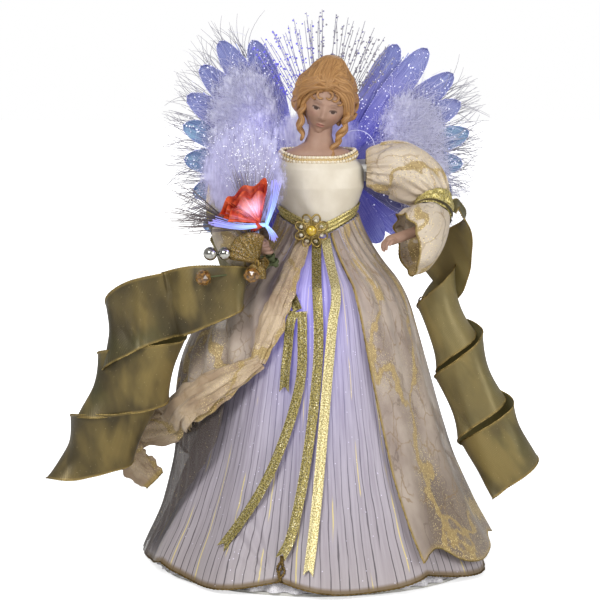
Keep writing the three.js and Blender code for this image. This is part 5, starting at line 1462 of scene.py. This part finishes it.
def build_bow():
    """A bow of gold mesh with corded edges: two loops and two tails from a knot."""
    shape, cords = Shape().beads(BOW_ROOT, [(3.0, 2.6, 3.4)], 3), Shape()
    t, across = steps(40), columns(11, -1, 1)
    pieces = [(*bow_loop(*loop), 160, 0.6, 0.25) for loop in BOW_LOOPS]
    for route in BOW_TAILS:
        path = BOW_ROOT + spline(route, 40)
        width = lerp(1.0, 3.2, smooth(t, 0, 0.4))[:, None] * across
        side = unit(np.cross(np.gradient(path, axis=0), [0.1, 1.0, 0.1]))
        points = path[:, None] + side[:, None] * width[..., None]
        pieces.append((points, (t[:, None] * 18, across * 5), 120, 0.5, 0.2))
    for points, uv, count, radius, swing in pieces:
        shape.grid(points, uv)
        for column in (0, -1):
            cords.twine(spline(points[:, column], count), radius, swing, 2.1)
    shape.make("bouquet_bow_mesh", "arm_right", "gold_mesh", "gold_mesh", "bouquet_bow", flat=(0.1, 0.03),
               held="folded", on="bouquet_stem")
    cords.make("bouquet_bow_cords", "arm_right", "dark_cord", "gold_mesh")


# Wings and halo

WING_MIDDLE = array([14.0, 31.8, 287.0])
LOBE_R = 9.8
LOBE_DOTS, LOBE_FIBRES = 90, 6
# Angle in degrees and length of each lobe
LOBES = {
    "right": array([(70, 99), (58, 109), (46, 103), (33, 97), (20, 90), (4, 84), (-14, 80), (-33, 83),
                    (-46, 70), (-62, 62)], float),
    "left": array([(64, 100), (53, 109), (39, 109), (28, 102), (15, 100), (2, 92), (-12, 86), (-27, 86),
                   (-44, 72), (-60, 64)], float),
}
# Middle, half width and height, and lift of each patch of down
DOWN_PATCHES = {
    "right": [((40, 36), (32, 46), 3.0), ((46, -8), (29, 32), 3.8), ((36, -32), (22, 18), 4.8)],
    "left": [((55, 26), (27, 36), 3.0), ((60, -4), (27, 30), 3.8), ((66, -24), (20, 20), 4.4)],
}
BARB_SPAN = {"left": (-38, 36), "right": (-30, 66)}
DOWN_INNER = 6
HALO = array([4.0, 26.8, 303.0])


def wing_rng(seed, side):
    return np.random.default_rng(seed + (side == "right"))


def wing_points(side, x, y, z):
    """Points to the side, behind and above the middle of a wing's fan."""
    return join(SIGN[side] * (WING_MIDDLE[0] + x), WING_MIDDLE[1] + y, WING_MIDDLE[2] + z)


def wing_fan(side, r, angle, y):
    """Points at a distance and an angle from the middle of a wing's fan."""
    return wing_points(side, r * cos(angle), y, r * sin(angle))


def build_lobes(side):
    """Lobes of film with bright dots along their edges."""
    shape, dots, rng = Shape(), Shape(), wing_rng(61, side)
    s, across = rows(60), columns(21, -1, 1) * SIGN[side]
    half = LOBE_R * np.minimum(0.3 + 1.3 * s, 1) * np.sqrt(1 - np.clip((s - 0.66) / 0.34, 0, 1) ** 2.2)
    off = across * half
    for i, (degrees, length) in enumerate(LOBES[side]):
        angle = radians(degrees)
        reach = lerp(8, length, s)
        x = reach * cos(angle) - off * sin(angle) * SIGN[side]
        z = reach * sin(angle) + off * cos(angle) * SIGN[side]
        points = wing_points(side, x, 0.8 * (-1) ** i - 1.6 * across ** 2 * s - 1.5 * s ** 3, z)
        upper = 0.14 * smooth(angle, 0.5, 0.9) if side == "left" else 0.05
        lower = 0.55 * smooth(-angle, 0.6, 0.8)
        glow = np.clip(0.5 * bell(reach, 30, 28) * bell(angle, 0.85, 0.55) + 0.04 + upper + lower, 0, 1)
        tone = (1.0 if -0.6 < angle < 0.4 else 0.2) * smooth(s, 0.6, 0.95)
        shape.grid(points, (reach, off * 3 + 40 * i), glow=glow, edge=smooth(abs(across), 0.7, 0.95),
                   tone=tone)
        if degrees > -40:
            rim = spline(np.vstack([points[18:, 0], points[:18:-1, -1]]), LOBE_DOTS) + [0, -0.9, 0]
            dots.beads(rim, rng.uniform(0.22, 0.5, LOBE_DOTS), glow=rng.uniform(0.1, 0.8, LOBE_DOTS),
                       tone=rng.uniform(0, 1, LOBE_DOTS))
    shape.make(f"wing_{side}_lobes", "wing_" + side, "wing_film", "wing_film", "wing_panel_" + side)
    dots.make(f"wing_{side}_dots", "wing_" + side, "wing_dot", "wing_film")


def build_down(side):
    """Down in soft patches with short strands over them."""
    rng, soft, patches = wing_rng(21, side), Shape(), DOWN_PATCHES[side]
    r, turn = rows(18), columns(49, 0, TAU) * -SIGN[side]
    for (x, z), (wide, high), lift in patches:
        px = np.maximum(x + wide * r * cos(turn), DOWN_INNER)
        pz = z + high * r * sin(turn)
        puff = lift * dome(r) + 1.2 * cos(5 * turn + 7 * r) * r * (1 - r)
        soft.grid(wing_points(side, px, -2.2 - puff, pz), (px, pz), tone=1 - r ** 1.5)
    soft.make(f"wing_{side}_fluff", "wing_" + side, "wing_fluff", "plume", "wing_plume_" + side)
    count, t = 2400, steps(6)
    pick = rng.choice(3, count, p=[0.48, 0.34, 0.18])
    middles, sizes = (array([patch[i] for patch in patches], float)[pick] for i in (0, 1))
    spot = middles + rng.normal(0, 0.38, (count, 2)) * sizes
    out_x, out_z = unit(unit(spot) + rng.normal(0, 0.55, (count, 2))).T[..., None]
    reach = rng.uniform(6, 17, count)[:, None] * t
    bend = rng.normal(0, 0.4, count)[:, None] * reach * t
    x = np.maximum(spot[:, :1] + out_x * reach + bend * out_z, DOWN_INNER)
    z = spot[:, 1:] + out_z * reach - bend * out_x
    y = -4.0 - rng.uniform(0.5, 4.5, count)[:, None] * sin(PI * 0.6 * t)
    strands = Shape().tubes(wing_points(side, x, y, z), 0.16 * (1 - 0.6 * t), 3,
                            glow=rng.uniform(0, 0.6, count))
    strands.make(f"wing_{side}_down", "wing_" + side, "wing_down", "plume")


def build_barbs(side):
    """Thin barbs that stand out beyond the lobes."""
    rng, count, t = wing_rng(31, side), 190, steps(10)
    angle = radians(rng.uniform(*BARB_SPAN[side], count))
    degrees, reach = LOBES[side][::-1].T
    length = interp(angle, radians(degrees), reach)
    start = length * rng.uniform(0.7, 0.95, count)
    r = start[:, None] + (length + rng.uniform(2, 17, count) - start)[:, None] * t
    turn = angle[:, None] + rng.normal(0, 0.07, count)[:, None] * t ** 2
    y = 2.4 - rng.uniform(0, 6.0, count)[:, None] * t
    shape = Shape().tubes(wing_fan(side, r, turn, y), 0.3 * (1 - 0.6 * t), 4)
    shape.make(f"wing_{side}_barbs", "wing_" + side, "wing_barb", "plume")


def build_sparks(side):
    """Light fibres on the wing's back, and their bright ends among the lobes."""
    rng, t, count = wing_rng(41, side), steps(8), 420
    degrees, length = LOBES[side].T
    angle = radians(np.repeat(degrees, LOBE_FIBRES) + np.tile(steps(LOBE_FIBRES, -5, 5), len(degrees)))
    reach = np.repeat(length, LOBE_FIBRES) * rng.uniform(0.55, 0.96, len(angle))
    paths = wing_fan(side, lerp(6, reach[:, None], t), angle[:, None], 2.6 - 2.0 * t)
    fibres = Shape().tubes(paths, 0.4, 5, glow=0.15)
    fibres.make(f"wing_{side}_fibre_strands", "wing_" + side, "light_fibre", "light_fibre",
                "wing_fibres_" + side)
    pick = rng.integers(0, len(degrees) - 2, count)
    share = np.sqrt(rng.uniform(0.06, 0.98, count))
    turn = radians(degrees[pick]) + rng.normal(0, 0.05, count) / share
    tips = Shape().beads(wing_fan(side, length[pick] * share, turn, -2.6), rng.uniform(0.25, 0.65, count),
                         glow=rng.uniform(0.3, 1, count), tone=rng.uniform(0, 1, count))
    tips.make(f"wing_{side}_sparks", "wing_" + side, "spark", "light_fibre")


def build_neck_down():
    """A puff of down behind the neck, lit from the figure's left, and a loop of light fibre before it."""
    r, turn = rows(18), columns(61, 0, TAU)
    x, z = -33 * r * cos(turn), 311 + 21 * r * sin(turn)
    shape = Shape().grid(join(x, 24.0 - 2.5 * dome(r), z), (x, z), tone=1.1 - r ** 2,
                         glow=0.08 + 0.24 * smooth(x, -4, 16))
    shape.make("neck_down", "base", "wing_fluff", "plume")
    bend = steps(40, -0.3, PI + 0.2)
    loop = Shape().tubes(join(28 + 13 * cos(bend), 20.5, 303 + 12 * sin(bend)), 0.28, 6, glow=0.25)
    loop.make("neck_fibre_loop", "base", "spark", "light_fibre")


def build_halo():
    """A fan of light fibres behind the head, strung with beads."""
    rng, beads = np.random.default_rng(51), Shape()
    count, t, many = 46, steps(24), 16
    turn = radians(steps(count, -36, 36) + rng.normal(0, 1.0, count))
    reach = 101 * (1 - 0.1 * abs(sin(2.4 * np.arange(count)))) * (1 - 0.1 * abs(turn) / 0.63)
    wander = rng.normal(0, 2.0, count)[:, None] * sin(3 * t + rng.uniform(0, 3, count)[:, None]) * t
    r, y = reach[:, None] * t, rng.normal(0, 1.6, count)[:, None] * t
    paths = HALO + join(r * sin(turn)[:, None] + wander, y, r * cos(turn)[:, None])
    strands = Shape().tubes(paths, 0.34 * (1 - 0.3 * t), 5, glow=0.3 * smooth(-turn, 0.0, 0.4))
    for path, side in zip(paths, smooth(-turn, -0.15, 0.3)):
        spots = sample(rng.uniform(0.28, 1.0, many), t, path)
        spots = spots + rng.normal(0, 0.8, spots.shape) * [1, 0.5, 1]
        beads.beads(spots, rng.uniform(0.45, 0.95, many),
                    tone=np.clip(1 - side + rng.normal(0, 0.2, many), 0, 1),
                    glow=np.clip(side + rng.normal(0, 0.2, many), 0, 1))
    strands.make("halo_strands", "base", "halo_fibre", "light_fibre", "halo_spray")
    beads.make("halo_beads", "base", "halo_bead", "light_fibre")


# Stage, lights and camera, in metres

FLOOR_HALF, FLOOR_Z = 4, -0.0004
FLOOR_NEAR, FLOOR_FAR = 0.22, 0.6
AIM = (0, 0, 0.2)
ELEVATION = radians(8)
DISTANCE = 2.2
TARGET = (-0.0131, 0.0, 0.193)
FRAME_W = 0.4362
SENSOR = 36
AMBIENT, BACKDROP = 0.34, 1.0
VIOLET = (0.42, 0.38, 1.0)


def stage():
    """A floor that is white to the camera, with a soft shadow near the piece."""
    mesh = bpy.data.meshes.new("floor")
    corners = [(x * FLOOR_HALF, y * FLOOR_HALF, FLOOR_Z) for x, y in ((-1, -1), (1, -1), (1, 1), (-1, 1))]
    mesh.from_pydata(corners, [], [(0, 1, 2, 3)])
    look = Look("floor_paper", (0.86, 0.86, 0.86, 1), 0.9)
    off = look.node("VectorMath", "Value", {0: look.node("TexCoord", "Object")}, operation="LENGTH")
    level = look.step(off, FLOOR_NEAR, FLOOR_FAR) * 0.4 + 0.68
    look.shine((1, 1, 1, 1), look.node("LightPath", "Is Camera Ray") * level)
    mesh.materials.append(look.material)
    put_in_scene("floor", mesh)


def world():
    scene = bpy.context.scene
    scene.world = bpy.data.worlds.new("studio")
    scene.world.use_nodes = True
    tree = scene.world.node_tree
    back = tree.nodes["Background"]
    rays = tree.nodes.new("ShaderNodeLightPath")
    level = tree.nodes.new("ShaderNodeMapRange")
    level.inputs["To Min"].default_value = AMBIENT
    level.inputs["To Max"].default_value = BACKDROP
    back.inputs["Color"].default_value = (1, 1, 1, 1)
    tree.links.new(rays.outputs["Is Camera Ray"], level.inputs["Value"])
    tree.links.new(level.outputs[0], back.inputs["Strength"])
    scene.view_settings.view_transform = "Standard"


def area_lamp(name, place, energy, size):
    data = bpy.data.lights.new(name, "AREA")
    data.energy, data.size = energy, size
    x, y, z = array(AIM) - place
    obj = put_in_scene(name, data)
    obj.location = place
    obj.rotation_euler = (math.atan2(math.hypot(x, y), -z), 0.0, math.atan2(y, x) - PI / 2)


def violet_lamp(name, place, energy, size):
    data = bpy.data.lights.new(name, "POINT")
    data.energy, data.shadow_soft_size, data.color = energy, size, VIOLET
    put_in_scene(name, data).location = place


def lights():
    area_lamp("key", (-0.7, -1.5, 1.3), 22, 0.8)
    area_lamp("fill", (1.2, -1.2, 0.7), 12, 0.9)
    area_lamp("back", (0.3, 1.2, 1.2), 6, 0.8)
    violet_lamp("bouquet_light", (-0.036, -0.082, 0.262), 0.012, 0.01)
    violet_lamp("wing_light_left", (0.045, 0.012, 0.318), 0.005, 0.015)
    violet_lamp("wing_light_right", (-0.045, 0.012, 0.318), 0.01, 0.015)


def camera():
    data = bpy.data.cameras.new("camera")
    data.sensor_width = SENSOR
    data.lens = SENSOR * DISTANCE / FRAME_W
    obj = put_in_scene("camera", data)
    obj.location = (TARGET[0], -DISTANCE * cos(ELEVATION), TARGET[2] + DISTANCE * sin(ELEVATION))
    obj.rotation_euler = (PI / 2 - ELEVATION, 0, 0)
    bpy.context.scene.camera = obj


for step in (make_looks, dress_kept_nodes,
             build_petticoat, build_underskirt, build_tulle, build_overskirt_left, build_overskirt_right,
             build_swag_roll, build_front_gather, build_bodice, build_neckline, build_sash, build_brooch,
             build_tails, build_head, build_hair):
    step()
for arm in SIGN:
    for step in (build_sleeve, build_band, build_cuff, build_hand, build_stole):
        step(arm)
build_berries("silver_berries", -12.3, SILVER, 4.9, "silver_finish", False)
build_berries("amber_berries", -18.1, AMBER, 5.8, "amber", True)
for step in (build_needles, build_fibres, build_flower, build_bow):
    step()
for wing in SIGN:
    for step in (build_lobes, build_down, build_barbs, build_sparks):
        step(wing)
for step in (build_neck_down, build_halo, stage, world, lights, camera):
    step()
